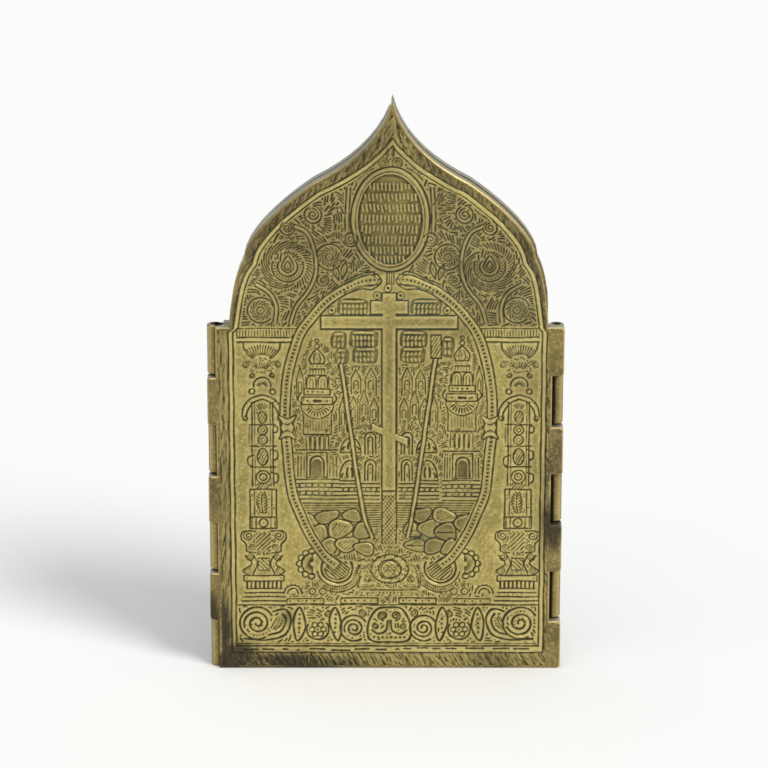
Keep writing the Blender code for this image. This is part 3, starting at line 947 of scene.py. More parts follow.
def tower(x, low):
    """A domed tower in tiers, from its collar of arches up to the balls on its lantern."""
    strokes = arcade((x - 3.5, x + 3.5), (low, low + 4.6), 5)
    for up, half in ((5.0, 3.9), (23.3, 2.7), (25.2, 2.2), (26.8, 2.0)):
        strokes.append(level_line(x, low + up, half))
    strokes += comb((x - 3.0, x + 3.0), (low + 6.0, low + 9.6), 0.86, HAIR)
    strokes += [ring((x, low + 14.8), radius, FINE, 208, 332) for radius in (2.0, 4.9)]
    strokes += rays((x, low + 14.8), 2.3, 4.4, 214, 326, 9, LINE)
    strokes += box_lines((x - 4.6, x + 4.6), (low + 14.3, low + 16.6))
    strokes += [stroke([(x - 0.8, low + 15.4), (x + 1.0, low + 15.4)], (1.3, 0.34))]
    strokes += box_lines((x - 3.8, x + 3.8), (low + 17.3, low + 19.1))
    strokes += dots([(x - 2.8, low + 18.2), (x + 2.8, low + 18.2)], 1.4)
    for side in (-1, 1):
        strokes.append(dot((x + side * 2.9, low + 15.4)))
        strokes.append(stroke(mirrored(side, ((4.1, 5.2), (4.1, 10.4), (4.9, 14.0)), x, low), FINE))
        strokes.append(curl(mirrored(side, ((4.7, 14.4), (5.7, 16.0), (4.9, 17.8)), x, low)))
        strokes += arched_opening(x + side * 1.65, low + 19.3, 1.35, 3.8)
        strokes += arched_opening(x + side * 1.65, low + 19.4, 0.5, 2.8, FINE)
        strokes.append(stroke(mirrored(side, ((3.5, 19.3), (3.3, 23.0)), x, low), FINE))
        strokes.append(curl(mirrored(side, ((1.9, 27.0), (2.3, 28.4), (1.1, 30.4), (0.0, 31.4)), x, low)))
        strokes.append(curl(mirrored(side, ((0.8, 27.2), (1.0, 28.6), (0.4, 30.2)), x, low), FINE))
    strokes += comb((x - 2.1, x + 2.1), (low + 23.8, low + 24.8), 0.85, FINE)
    strokes += dots([(x - 1.3, low + 26.0), (x + 1.3, low + 26.0)], 1.2, LINE)
    strokes += [ring((x, low + up), radius, FINE) for up, radius in ((32.3, 0.7), (33.9, 0.55))]
    return strokes


def wall(x_span, low, window):
    """A stretch of palace wall with a window, cornices and beaded panels."""
    left, right = x_span
    strokes = ladder(x_span, (low, low + 6.2), 1.24, LINE)
    for row in (low + 1.86, low + 4.34):
        strokes += dots([(left + 1.0, row), (right - 1.0, row)], 1.9, BOLD)
    strokes += arched_opening(window, low + 7.2, 2.0, 6.3, BOLD)
    strokes += box_lines((window - 3.0, window + 3.0), (low + 6.8, low + 14.6), LINE)
    strokes += comb((left + 0.6, window - 3.8), (low + 7.0, low + 13.4), 0.95, FINE)
    strokes += comb((window + 3.8, right - 0.4), (low + 7.0, low + 13.4), 0.95, FINE)
    strokes += [stroke([(left, low + 15.4), (right, low + 15.4)], LINE)]
    return strokes


def spire(x, low, height, half):
    """A narrow pointed tower with a window."""
    strokes = [stroke([(x - half, low), (x - half, low + 0.62 * height), (x, low + height),
                       (x + half, low + 0.62 * height), (x + half, low)], FINE)]
    strokes += arched_opening(x, low + 0.2 * height, 0.45 * half, 0.34 * height, FINE)
    strokes += [stroke([(x, low + 0.66 * height), (x, low + 0.86 * height)], HAIR)]
    return strokes


def ribbed_dome(centre, radii, ribs):
    """A swelling dome with dark gaps between its ribs."""
    x, z = centre
    wide, high = radii
    strokes = [stroke(arc(centre, radii, 0, 180), LINE), stroke([(x - wide, z), (x + wide, z)], LINE)]
    for share in np.linspace(-0.8, 0.8, ribs):
        rise = 0.92 * high * math.sqrt(1 - share**2)
        strokes.append(curl([(x + 0.7 * share * wide, z + 0.5), (x + share * wide, z + 0.4 * rise),
                             (x + 0.6 * share * wide, z + 0.85 * rise)], BOLD, taper=0.8))
    return strokes


WINDOW_PANES = ((-21.2, 60.9), (21.9, 60.5))
# Place, foot, height and half width of each pointed tower
SPIRES = (
    (-9.6, 86.6, 7.6, 1.4), (-5.2, 86.0, 8.6, 1.6), (-10.4, 77.6, 8.2, 1.3), (-7.3, 78.4, 9.4, 1.2),
    (-4.3, 77.6, 7.8, 1.2), (-13.4, 75.0, 11.0, 1.1), (-26.0, 84.6, 10.4, 1.0),
    (5.4, 86.0, 8.8, 1.5), (9.4, 86.6, 7.4, 1.4), (4.6, 77.6, 7.8, 1.2), (7.6, 78.4, 9.2, 1.2),
    (10.6, 77.0, 8.4, 1.3), (13.4, 76.0, 10.0, 1.1), (26.6, 85.6, 9.6, 1.0),
)
SKYLINE = (
    (-26.2, 54.0), (-28.0, 66.0), (-28.6, 84.0), (-26.6, 95.6), (-22.6, 104.0), (-17.6, 101.0), (-13.0, 95.4),
    (-3.0, 95.6), (3.4, 95.6), (13.0, 96.0), (17.6, 97.0), (23.4, 104.6), (26.8, 95.6), (28.8, 84.0),
    (28.2, 66.0), (26.6, 54.0),
)


def window_pane(x, low):
    """The dark opening of a palace window."""
    return np.vstack([[(x - 1.5, low), (x + 1.5, low)], arc((x, low + 3.9), (1.5, 1.5), 0, 180)])


def city(plate, rng):
    """The walled city behind the cross, with a tall domed tower on each side."""
    plate.darken(wreath_shape(1.4), 0.1)
    plate.level(clipped_high(wreath_shape(-2.0), 54.0, 120.0), -0.05)
    plate.cut(tower(-21.0, 69.0), tower(21.6, 70.0))
    plate.cut(wall((-27.4, -15.0), 53.8, -21.2), wall((16.0, 27.0), 53.4, 21.9))
    for place in SPIRES:
        plate.cut(spire(*place))
    for side in (-1, 1):
        near, far = side * 2.9 + 0.2, side * 14.8
        plate.cut(ribbed_dome((side * 11.5, 59.6), (3.1, 6.2), 4))
        plate.cut(ribbed_dome((side * 11.2, 68.4), (3.0, 4.6), 4))
        for low in (59.6, 68.0):
            plate.cut(arched_opening(side * 5.4, low, 1.6, 6.6), arched_opening(side * 5.4, low, 0.7, 5.2))
        plate.cut(ladder(sorted((near, far)), (53.8, 58.6), 1.2))
        plate.cut(dots([(near + side * 0.8, 56.8), (far - side * 0.8, 56.8)], 1.7))
    hearts = [(-21.0, 78.0), (21.5, 80.0), (-8.0, 72.0), (8.0, 74.0), (-14.0, 92.0), (15.0, 92.0)]
    clear = [rectangle((-2.6, 3.0), (40.0, 118.0))]
    foliage(plate, np.array(SKYLINE), hearts, rng, FINE, 0.5, 2.4, clear, 0.18)
    for x, low in WINDOW_PANES:
        plate.level(window_pane(x, low), -0.22)
        plate.darken(window_pane(x, low), 0.5)


def clipped_high(outline, low, high):
    """The part of an outline between two heights."""
    kept = outline.copy()
    kept[:, 1] = np.clip(kept[:, 1], low, high)
    return kept


FEWEST_EDGE_POINTS = 5
# Place, half width, half height and tilt of each stone
STONES = (
    (-24.0, 46.6, 3.4, 2.4, -20), (-18.4, 48.2, 3.8, 2.0, 15), (-20.6, 43.2, 3.0, 2.4, -35),
    (-14.6, 44.4, 3.9, 3.0, 20), (-10.8, 48.6, 2.9, 1.9, -10), (-17.4, 38.8, 3.4, 2.6, -30),
    (-12.4, 39.6, 3.6, 2.4, 10), (-8.0, 43.6, 2.6, 2.8, 0), (-7.2, 38.2, 3.2, 2.0, -15),
    (7.0, 44.0, 2.9, 2.3, -30), (9.8, 48.8, 3.2, 2.2, 20), (12.2, 44.6, 3.5, 2.8, 10),
    (16.4, 48.6, 3.7, 2.3, -12), (17.2, 43.4, 3.4, 3.0, -30), (22.6, 46.4, 3.4, 2.6, 35),
    (8.2, 39.2, 3.4, 1.9, -8), (13.6, 39.0, 3.5, 2.4, 12), (18.2, 38.6, 2.9, 2.2, 40),
)


def ground_and_rocks(plate, rng):
    """Level hatching under the city and rounded stones at the foot of the column."""
    field = clipped_high(wreath_shape(-2.0), 31.0, 53.2)
    plate.level(field, -0.08)
    plate.cut(hatch(clipped_high(field, 44.5, 53.2), 0, 0.74))
    for index, (x, z, wide, high, tilt) in enumerate(STONES):
        turn = math.radians(tilt)
        edge = arc((0.0, 0.0), (wide, high))
        wobble = 1 + 0.12 * np.sin(3 * np.linspace(0, 2 * math.pi, len(edge)) + 2 * x)
        edge = (edge * wobble[:, None]) @ np.array([(math.cos(turn), math.sin(turn)),
                                                    (-math.sin(turn), math.cos(turn))]) + (x, z)
        edge = edge[within(field, edge)]
        if len(edge) < FEWEST_EDGE_POINTS:
            continue
        plate.level(edge, -0.16)
        plate.darken(edge, (0.12, 0.3, 0.2)[index % 3] * (1.5 if x > 0 else 0.8))
        plate.dome((x, z), (wide, high), 0.17, tilt)
        inner_edge = edge * 0.82 + np.array([x, z]) * 0.18
        plate.cut([stroke(edge, FINE)])
        plate.raise_up([stroke(inner_edge, (0.7, 0.28), taper=0.8)])
        if index % 2:
            plate.cut([stroke(inner_edge[inner_edge[:, 1] < z], FINE, taper=1.0)])
        if index % 3 == 0:
            plate.cut(hatch(edge * 0.6 + np.array([x - 0.6, z - 0.4]) * 0.4, 35 + tilt, 0.8, HAIR))
    foliage(plate, clipped_high(field, 34.0, 50.0), [(0.0, 40.0)], rng, FINE, 0.6, 2.4,
            [rectangle((-2.4, 2.8), (39.0, 57.0))])
    plate.cut(boss((0.3, 31.6)))


def boss(centre):
    """The rosette at the foot of the wreath, in a frame of two bent leaves."""
    x, z = centre
    strokes = rosette(centre, 2.3, 8) + [ring(centre, 3.3, squash=0.92)]
    frame = ((0.0, 4.8), (3.6, 3.6), (5.6, 0.0), (3.6, -3.4), (0.0, -4.4))
    for side in (-1, 1):
        strokes.append(curl(mirrored(side, frame, x, z)))
        strokes += leaf(*mirrored(side, ((4.6, 3.4), (8.4, 0.2)), x, z), 1.0, side * -0.1)
        strokes += scroll((x + side * 6.6, z - 3.0), 1.3, 90, side, FINE)
    return strokes


def spear_and_reed(plate):
    """The spear and the reed with its sponge, which lean in from both sides over the city."""
    for path in (((-14.5, 99.9), (-8.2, 53.6), (-4.9, 41.6)), ((13.7, 97.1), (7.8, 53.6), (5.6, 41.6))):
        shaft = bent(path)
        plate.level(np.vstack([shaft - (0.6, 0.0), (shaft + (0.6, 0.0))[::-1]]), 0.0)
        for shift in (-0.6, 0.6):
            plate.cut([stroke(shaft + (shift, 0.0), LINE)])
        plate.raise_up([stroke(shaft, (0.7, 0.08))])
    tip = np.array([-14.5, 106.0])
    plate.cut(leaf((-14.3, 99.4), tip, 1.3, 0.0, FINE, 0.7))
    sponge = rectangle((12.4, 15.4), (97.6, 104.6))
    plate.level(sponge, 0.02)
    plate.cut(hatch(sponge, 60, 0.8), box_lines((12.4, 15.4), (97.6, 104.6)))


def shell(plate, side):
    """A ruffled shell that opens outwards."""
    centre = np.array([side * 22.6, 33.4])
    outwards = 180 if side < 0 else 0
    plate.cut([ring(centre, 3.3, BOLD, outwards - 90, outwards + 90)])
    for turn in np.radians(np.linspace(outwards - 85, outwards + 85, 7)):
        plate.cut([ring(centre + 3.9 * np.array([math.cos(turn), math.sin(turn)]), 0.9)])
    plate.cut(rays(centre, 0.6, 3.0, outwards - 85, outwards + 85, 12, LINE))


def hatched_round(plate, side):
    """The hatched round under the end of the wreath, with a fringed rim below it."""
    centre = (side * 15.4, 32.0)
    rim, fringe = ((236, 340), (236, 345)) if side < 0 else ((200, 304), (195, 304))
    plate.level(arc(centre, (4.8, 4.8)), -0.1)
    plate.cut([ring(centre, 4.7, BOLD), ring(centre, 3.7, LINE, 180, 360)])
    plate.cut(hatch(arc(centre, (3.3, 3.3)), side * 42, 0.8, LINE))
    plate.cut([ring(centre, 5.9, LINE, 190, 350), ring(centre, 7.6, LINE, *rim)])
    plate.cut(rays(centre, 6.1, 7.4, *fringe, 20, LINE))


def beaded_box(x_span, z_span, row, margin, pitch, pen=LINE):
    """A flat box with a row of beads in it."""
    left, right = sorted(x_span)
    return box_lines((left, right), z_span, pen) + dots([(left + margin, row), (right - margin, row)], pitch)


def shells(plate, rng):
    """Shells, hatched rounds, leaves and beaded boxes that hold the foot of the wreath."""
    for side in (-1, 1):
        shell(plate, side)
        hatched_round(plate, side)
        plate.cut(leaf((side * 8.2, 33.4), (side * 9.0, 25.4), 1.3, side * 0.12, LINE))
        plate.cut(leaf((side * 4.0, 26.6), (side * 9.8, 26.0), 1.0, -side * 0.05))
        small = (side * 28.6, 24.0)
        plate.cut([ring(small, radius, LINE, 0, 180) for radius in (1.6, 2.6)])
        plate.cut(rays(small, 2.7, 3.4, 5, 175, 8))
        for place in mirrored(side, ((16.4, 24.6), (19.6, 24.6), (22.8, 24.6))):
            plate.cut([ring(place, 1.0, FINE), dot(place, FINE)])
        plate.cut(beaded_box((side * 3.2, side * 14.2), (20.7, 22.5), 21.6, 1.2, 1.9))
        plate.cut(beaded_box((side * 19.4, side * 30.4), (20.7, 22.3), 21.5, 1.0, 2.4, FINE))
    plate.cut(dots([(-8.0, 24.2), (8.0, 24.2)], 1.1, LINE), [level_line(0.0, 25.1, 8.6, FINE)])
    plate.cut([stroke([(-45.0, 20.3), (44.6, 20.3)])])
    hearts = [(-15.2, 30.6), (15.2, 30.6), (0.0, 26.0)]
    area = np.array([(-21.0, 30.0), (-30.5, 22.6), (-30.0, 20.6), (30.0, 20.6), (30.5, 22.6), (21.0, 30.0),
                     (8.0, 33.0), (-8.0, 33.0)])
    foliage(plate, area, hearts, rng, FINE, 0.56, 2.4)


# The pilasters at both sides

PILASTER_PLACES = (-37.2, 38.4)
PILASTER_FILL = (
    ((93.0, 98.0), 3.6), ((57.4, 86.0), 2.2), ((48.8, 56.2), 3.8), ((36.0, 43.8), 5.0), ((30.2, 35.8), 3.4),
)
# The same on both sides of a pilaster, each place given by how far out and how high it lies
PILASTER_CURLS = (
    ((5.4, 102.2), (5.1, 100.4), (3.6, 98.2), (2.4, 97.6)),
    ((2.2, 43.8), (6.0, 43.6), (6.6, 41.4), (5.2, 39.6), (5.0, 37.4), (2.4, 36.8)),
    ((5.6, 36.0), (3.6, 33.4), (6.2, 31.2), (4.6, 29.8)),
    ((3.0, 36.0), (2.0, 33.4), (3.2, 30.2)),
)
# Place, radius, start in degrees, way and pen
PILASTER_SCROLLS = (
    ((4.9, 95.6), 1.1, 90, 1, FINE), ((3.0, 92.2), 0.9, 90, 1, FINE), ((5.2, 79.0), 0.9, 90, 1, FINE),
    ((4.5, 42.2), 1.6, 90, -1, LINE), ((3.4, 38.6), 1.2, 270, 1, FINE), ((4.3, 35.4), 1.3, 90, 1, LINE),
    ((4.7, 31.4), 1.2, 270, -1, FINE),
)


def pilaster_top(x):
    """The pilaster's bowl, small arch, balls and hood."""
    strokes = rays((x, 94.6), 3.8, 7.4, 52, 128, 12, LINE) + rays((x, 93.4), 0.9, 3.2, 40, 140, 7)
    strokes += rays((x, 88.6), 0.7, 2.2, 24, 156, 7)
    strokes += [dot((x, 93.3), LINE), ring((x, 89.2), 2.5, LINE, -10, 190)]
    for side in (-1, 1):
        strokes += leaf(*mirrored(side, ((1.2, 94.4), (4.4, 97.0)), x), 1.1, side * 0.1, FINE, 0.7)
        strokes.append(ring((x + side * 3.0, 87.3), 0.8))
        for drop, share in ((0.0, 1.0), (1.3, 0.8)):
            hood = ((0.0, 86.3 - drop), (share * 3.2, 85.2 - drop), (share * 5.4, 82.8 - drop),
                    (share * 6.1, 79.6))
            strokes.append(curl(mirrored(side, hood, x)))
        strokes += whirl((x, 78.6), 6.2, 7.2, side * -6, 4, FINE, 90 - side * 30, 90 - side * 58)
    return strokes


def pilaster_shaft(x):
    """The pilaster's tiers of rings, ovals and a leaf, between upright lines."""
    strokes = uprights((x - 3.1, x + 3.1), 84.0, 58.0) + uprights((x - 2.3, x + 2.3), 84.0, 58.0, FINE)
    strokes += uprights((x - 3.9, x + 3.9), 56.6, 48.6) + uprights((x - 2.6, x + 2.6), 56.6, 48.6, FINE)
    strokes += [level_line(x, z, 3.8) for z in (77.1, 70.4, 63.9, 56.9)]
    strokes += rays((x, 80.8), 1.0, 3.2, 58, 122, 5)
    strokes += [ring((x, 79.4), 1.25, squash=1.5)] + hatch(arc((x, 79.4), (1.0, 1.6)), 62, 0.7)
    strokes += [ring((x, 67.1), 1.6, squash=1.6)] + hatch(arc((x, 67.1), (1.3, 2.2)), 64, 0.72)
    for z in (75.4, 72.4):
        strokes += [ring((x, z), 1.4), ring((x, z), 0.6, FINE)]
    strokes += [ring((x, 60.8), radius) for radius in (1.1, 2.0)]
    strokes += hatch(rectangle((x - 1.9, x + 1.9), (57.3, 58.9)), 52, 0.72)
    strokes += comb((x - 3.9, x - 3.2), (71.2, 76.4), 0.6, FINE)
    strokes.append(curl(mirrored(1, ((3.2, 76.8), (4.4, 76.2), (4.2, 74.8), (3.2, 74.6)), x)))
    for side, low in ((1, 66.2), (-1, 64.4), (1, 59.0)):
        strokes.append(curl(mirrored(side, ((2.6, 3.2), (4.3, 2.4), (4.3, 0.4), (3.2, -0.2)), x, low)))
    return strokes + leaf((x, 49.0), (x, 56.2), 1.9, 0.06, LINE, 0.9)


def pilaster_foot(x):
    """The pilaster's block, hatched body, cushions and steps."""
    strokes = box_lines((x - 4.0, x + 4.0), (44.6, 48.2)) + [ring((x, 46.4), 1.3), dot((x, 46.4), FINE)]
    for x_span in ((x - 3.4, x - 2.2), (x + 2.2, x + 3.4)):
        strokes += comb(x_span, (45.0, 47.8), 0.9, FINE)
    strokes += hatch(rectangle((x - 2.2, x + 2.2), (37.8, 43.0)), 45, 0.95)
    strokes += hatch(rectangle((x - 1.4, x + 1.4), (31.8, 34.9)), -45, 0.9)
    strokes += box_lines((x - 1.7, x + 1.7), (31.4, 35.2), FINE) + box_lines((x - 5.9, x + 5.9), (27.9, 29.7))
    strokes += [dot((x + side * 5.0, 28.8), LINE) for side in (-1, 1)]
    strokes += comb((x - 5.0, x + 5.0), (25.8, 27.6), 1.25, BOLD)
    strokes += [level_line(x, z, half) for z, half in ((25.5, 5.2), (24.2, 5.8), (22.9, 6.3), (21.6, 6.6))]
    return strokes + dots([(x - 5.2, 23.5), (x + 5.2, 23.5)], 1.3, FINE)


def pilaster(plate, x, rng):
    """A tall pilaster in tiers, with a hood over ringed columns, vases, volutes and steps."""
    strokes = pilaster_top(x) + pilaster_shaft(x) + pilaster_foot(x)
    for side in (-1, 1):
        strokes += [curl(mirrored(side, points, x)) for points in PILASTER_CURLS]
        for (out, z), radius, start, way, pen in PILASTER_SCROLLS:
            strokes += scroll((x + side * out, z), radius, start, side * way, pen)
    plate.cut(strokes)
    for z_span, wide in PILASTER_FILL:
        area = rectangle((x - wide, x + wide), z_span)
        foliage(plate, area, [(x, z_span[0])], rng, FINE, 0.5, 2.0, margin=0.18)


def entablature(plate):
    """The row of small blocks over each pilaster, with a fillet below."""
    for side, (near, far) in ((-1, (25.6, 44.4)), (1, (25.6, 44.0))):
        x_span = sorted((side * near, side * far))
        plate.level(rectangle(x_span, (103.9, 106.4)), -0.05)
        plate.cut(comb(x_span, (104.4, 106.1), 0.84, FINE))
        for z, start in ((106.7, near), (103.9, near), (102.5, near + 1.2)):
            plate.cut([stroke([(x, z) for x in sorted((side * start, side * far))])])


# The frieze along the foot

def frieze(plate, rng):
    """Scrolls, rosettes and leaves between two lines, mirrored about a shield of volutes."""
    field = rectangle((-44.8, 44.2), (8.2, 19.8))
    plate.level(field, -0.04)
    strokes, hearts = [], []
    for side in (-1, 1):
        for (x, z), radius in (((39.4, 14.4), 4.0), ((10.4, 12.8), 3.0)):
            strokes.append(spiral((side * x, z), radius, 2.0, 200, side, 0.5, BOLD))
            strokes += whirl((side * x, z), 0.3 * radius, 0.5 * radius, 30, 8, LINE)
            strokes.append(ring((side * x, z), radius + 1.1, BOLD, 30, 300))
            hearts.append((side * x, z))
        flower = np.array([side * 21.2, 12.4])
        strokes += [ring(flower + 1.75 * np.array([math.cos(turn), math.sin(turn)]), 0.8, LINE)
                    for turn in np.radians(range(0, 360, 60))]
        strokes += [dot(flower), ring(flower, 3.3, BOLD, 150, 400)]
        hearts.append(tuple(flower))
        for x, lean in ((26.6, 0.9), (15.9, -0.6)):
            edge = mirrored(side, ((x, 19.4), (x + 1.9, 15.0), (x + lean, 8.8), (x - 1.8, 13.4)))
            strokes += [stroke(bent(edge, closed=True), BOLD)]
            strokes += dots([(side * x, 17.2), (side * (x + 0.3), 11.0)], 1.5)
        stem = [(43.2, 9.4), (36.6, 9.0), (31.2, 10.6), (29.2, 15.4), (31.0, 18.8), (34.6, 18.2)]
        within_stem = [(36.0, 10.6), (32.4, 11.8), (30.8, 15.2), (31.8, 17.4)]
        strokes += [curl(mirrored(side, line), BOLD) for line in (stem, within_stem)]
        strokes += leaf((side * 35.0, 12.2), (side * 32.6, 16.6), 1.5, side * 0.1, LINE, 0.8)
        hearts.append((side * 33.0, 14.0))
        strokes += scroll((side * 18.3, 17.4), 1.2, 90, side) + scroll((side * 7.6, 17.6), 1.3, 90, -side)
    shield = bent([(-5.6, 9.0), (-6.0, 14.4), (-3.6, 18.8), (0.2, 19.5), (4.0, 18.8), (6.4, 14.4), (6.0, 9.0),
                   (0.2, 8.4)], closed=True)
    strokes += [stroke(shield, BOLD)]
    for side in (-1, 1):
        strokes += scroll((0.2 + side * 1.9, 16.8), 1.5, 270, side, BOLD)
        strokes += scroll((0.2 + side * 4.0, 13.4), 1.1, 90, -side)
        strokes.append(curl(mirrored(side, ((0.4, 15.2), (1.0, 12.0), (3.4, 11.0), (5.2, 12.2)), 0.2), BOLD))
    strokes += dots([(-4.4, 9.9), (4.8, 9.9)], 1.3) + comb((-0.4, 0.8), (12.4, 15.0), 0.6, FINE)
    plate.cut(strokes)
    foliage(plate, field, hearts, rng, LINE, 0.66, 2.6, margin=0.3)
    plate.cut([stroke([(-45.0, 7.9), (44.4, 7.9)], LINE)])


# The doors' backs

BACK_LINE = (1.1, 0.28)
BACK_FINE = (0.9, 0.2)


def back_line(side, distance):
    """A line round the inside of one door's back at a distance from its edge."""
    whole = leaf_outline(-DOOR_EDGE - CENTRE, DOOR_EDGE - CENTRE, *DOOR_HALF_WIDTHS, DOOR_HEAD_HEIGHT)
    limit = MEETING_X - CENTRE + side * (MEETING_HALF_GAP + distance)
    return clipped(inset(whole, distance), limit, side)


def door_back(side):
    """The back of one door: lines along the edge, a flower in a ring, leaves and file marks."""
    rng = np.random.default_rng(SEED + 10 + side)
    plate = Plate(back_line(side, RIM_OVERLAP), BACK_CELL)
    plate.cut(file_marks(plate.outline, 88, 14, 1.5, rng, 8.0, (0.03, 0.1)))
    for distance, pen in ((3.0, BACK_LINE), (5.0, BACK_FINE)):
        plate.cut([stroke(back_line(side, distance), pen, closed=True)])
    x = side * 24.0
    plate.level(arc((x, 54.0), (16.4, 16.4)), 0.0)
    plate.cut([ring((x, 54.0), 16.4, BACK_LINE), ring((x, 54.0), 14.4, BACK_FINE)])
    plate.cut(scroll_flower((x, 54.0), 12.2, side, 90.0, BACK_LINE))
    for z, rise in ((88.0, 1), (20.0, -1)):
        for lean in (-1, 1):
            ends = (x + lean * 2.0, z - rise * 6.0), (x + lean * 12.0, z + rise * 5.0)
            plate.cut(leaf(*ends, 3.4, lean * rise * 0.12, BACK_LINE, 1.9))
        plate.cut(rosette((x, z + rise * 2.0), 3.6, 7, side, BACK_FINE, BACK_LINE))
    plate.cut(scroll_flower((side * 21.0, 121.0), 9.0, side, 60.0, BACK_LINE))
    plate.cut(leaf((side * 7.0, 132.0), (side * 9.0, 146.0), 3.0, side * 0.1, BACK_LINE, 1.9))
    pitting(plate, rng, 900)
    plate.tarnish = np.maximum(plate.tarnish, plate.patch((side * 38.0, 12.0), (16.0, 12.0), 0.7))
    plate.tarnish = np.maximum(plate.tarnish, plate.patch((side * 8.0, 96.0), (8.0, 26.0), 0.45))
    return plate


# The sunk inner faces

INNER_LEVEL = 0.98
INNER_BED = INNER_LEVEL + 0.22
INNER_CROSS_HEIGHT = 0.48
STOUT = (1.8, 0.44)
SLIM = (1.3, 0.32)


def pocket_outline(grown=0.2):
    """The outline of the leaves' sunk inner field, a little larger so that the mesh's edge is buried."""
    left, right = LEFT_EDGE + INNER_RIM, RIGHT_EDGE - INNER_RIM
    half_width = HEAD_HALF_WIDTH - INNER_RIM
    whole = leaf_outline(left, right, half_width, half_width, 58.12, low=INNER_RIM, foot=104.8)
    return inset(whole, -grown)


def main_inner_face():
    """Inside the main leaf: the cross in a niche between twisted columns, under leafwork."""
    rng = np.random.default_rng(SEED + 20)
    plate = Plate(pocket_outline(), INNER_CELL)
    niche = np.vstack([[(-27.0, 12.0)], arc((0.0, 100.0), (27.0, 27.0), 180, 0), [(27.0, 12.0)]])
    outer = np.vstack([[(-30.0, 12.0)], arc((0.0, 100.0), (30.0, 30.0), 180, 0), [(30.0, 12.0)]])
    plate.raise_up([stroke(niche, SLIM), stroke(outer, STOUT)], dots(0.5 * (niche + outer), 3.4, SLIM))
    for x in (-37.6, 36.6):
        plate.raise_up([stroke([(x + shift, 18.0), (x + shift, 88.0)], SLIM) for shift in (-3.6, 3.6)])
        plate.raise_up(hatch(rectangle((x - 3.0, x + 3.0), (19.0, 87.0)), 35, 2.7, SLIM))
        for z in (12.0, 15.0, 91.0, 94.0):
            plate.raise_up([stroke([(x - 5.4, z), (x + 5.4, z)], STOUT)])
    plate.raise_up(hatch(rectangle((-26.0, 26.0), (12.0, 26.0)), 0, 3.0, SLIM))
    hearts = [(0.0, 138.0), (-26.0, 118.0), (26.0, 118.0)]
    for heart in hearts:
        plate.raise_up(rosette(heart, 3.4, 7, 1, SLIM, SLIM))
    foliage(plate, inset(plate.outline, 1.6), hearts, rng, SLIM, 2.0, 7.0,
            [clipped_high(plate.outline, 0.0, 104.0), outer], 0.8, raised=True)
    for shape in cross_shapes(0.2):
        plate.ground[plate.inside(shape)] = INNER_CROSS_HEIGHT
    pitting(plate, rng, 600)
    return plate


def door_inner_face(side):
    """Inside one door: three tiers of framed flowers, each over a row of plain strokes."""
    rng = np.random.default_rng(SEED + 30 + side)
    limit = MEETING_X - CENTRE + side * (MEETING_HALF_GAP + DOOR_STILE - 0.2)
    plate = Plate(clipped(pocket_outline(), limit, side), INNER_CELL)
    near, far = limit + side * 2.6, side * 41.0
    x_span = sorted((near, far))
    middle = 0.5 * (near + far)
    hearts = []
    for low, high in ((7.4, 35.0), (39.4, 67.0), (71.4, 99.0)):
        centre = (middle, 0.5 * (low + high) + 1.6)
        hearts.append(centre)
        plate.raise_up(box_lines(x_span, (low, high), STOUT))
        plate.raise_up([ring(centre, 10.6, STOUT)], scroll_flower(centre, 9.0, side, 90.0, SLIM))
        field = inset(rectangle(x_span, (low, high)), 2.0)
        clear = [arc(centre, (11.6, 11.6)), foot_strip(field, 4.2)]
        foliage(plate, field, [centre], rng, SLIM, 1.9, 6.0, clear, 0.8, raised=True)
        bars = tally((x_span[0] + 2.4, x_span[1] - 2.4), (low + 1.8, low + 3.8), 2.5, rng)
        plate.raise_up([bar * (1, 1, 1.9, 1.2) for bar in bars])
    top = (side * 19.0, 118.0)
    plate.raise_up(scroll_flower(top, 8.0, side, 60.0, SLIM))
    foliage(plate, inset(plate.outline, 1.6), [top], rng, SLIM, 1.9, 6.0,
            [clipped_high(plate.outline, 0.0, 102.0)], 0.8, raised=True)
    pitting(plate, rng, 400)
    return plate


def foot_strip(field, height):
    """The lowest strip of a framed field, where its row of strokes stands."""
    return clipped_high(field, field[:, 1].min(), field[:, 1].min() + height)


def pitting(plate, rng, count):
    """Tiny casting pits all over."""
    low, high = plate.outline.min(axis=0), plate.outline.max(axis=0)
    places = low + rng.random((count, 2)) * (high - low)
    rows = np.column_stack([places, rng.uniform(0.1, 0.24, count), rng.uniform(0.03, 0.1, count)])
    plate.cut([rows])


# Patches of dark patina on the cover: centre, radii and strength
COVER_STAINS = (
    ((-46.0, 3.0), (9.0, 5.0), 1.6), ((-33.0, 2.0), (17.0, 3.2), 1.5), ((-16.0, 1.5), (8.0, 2.6), 1.0),
    ((-49.5, 12.0), (2.5, 12.0), 1.2), ((47.6, 44.0), (2.6, 13.0), 0.95), ((47.5, 56.0), (2.0, 6.0), 0.8),
    ((-30.2, 16.2), (2.0, 2.4), 0.9), ((47.8, 84.0), (2.2, 20.0), 0.45), ((40.0, 92.0), (5.0, 7.0), 0.3),
    ((2.0, 160.0), (9.0, 8.0), 0.35), ((9.0, 41.5), (2.8, 1.8), 0.75),
)


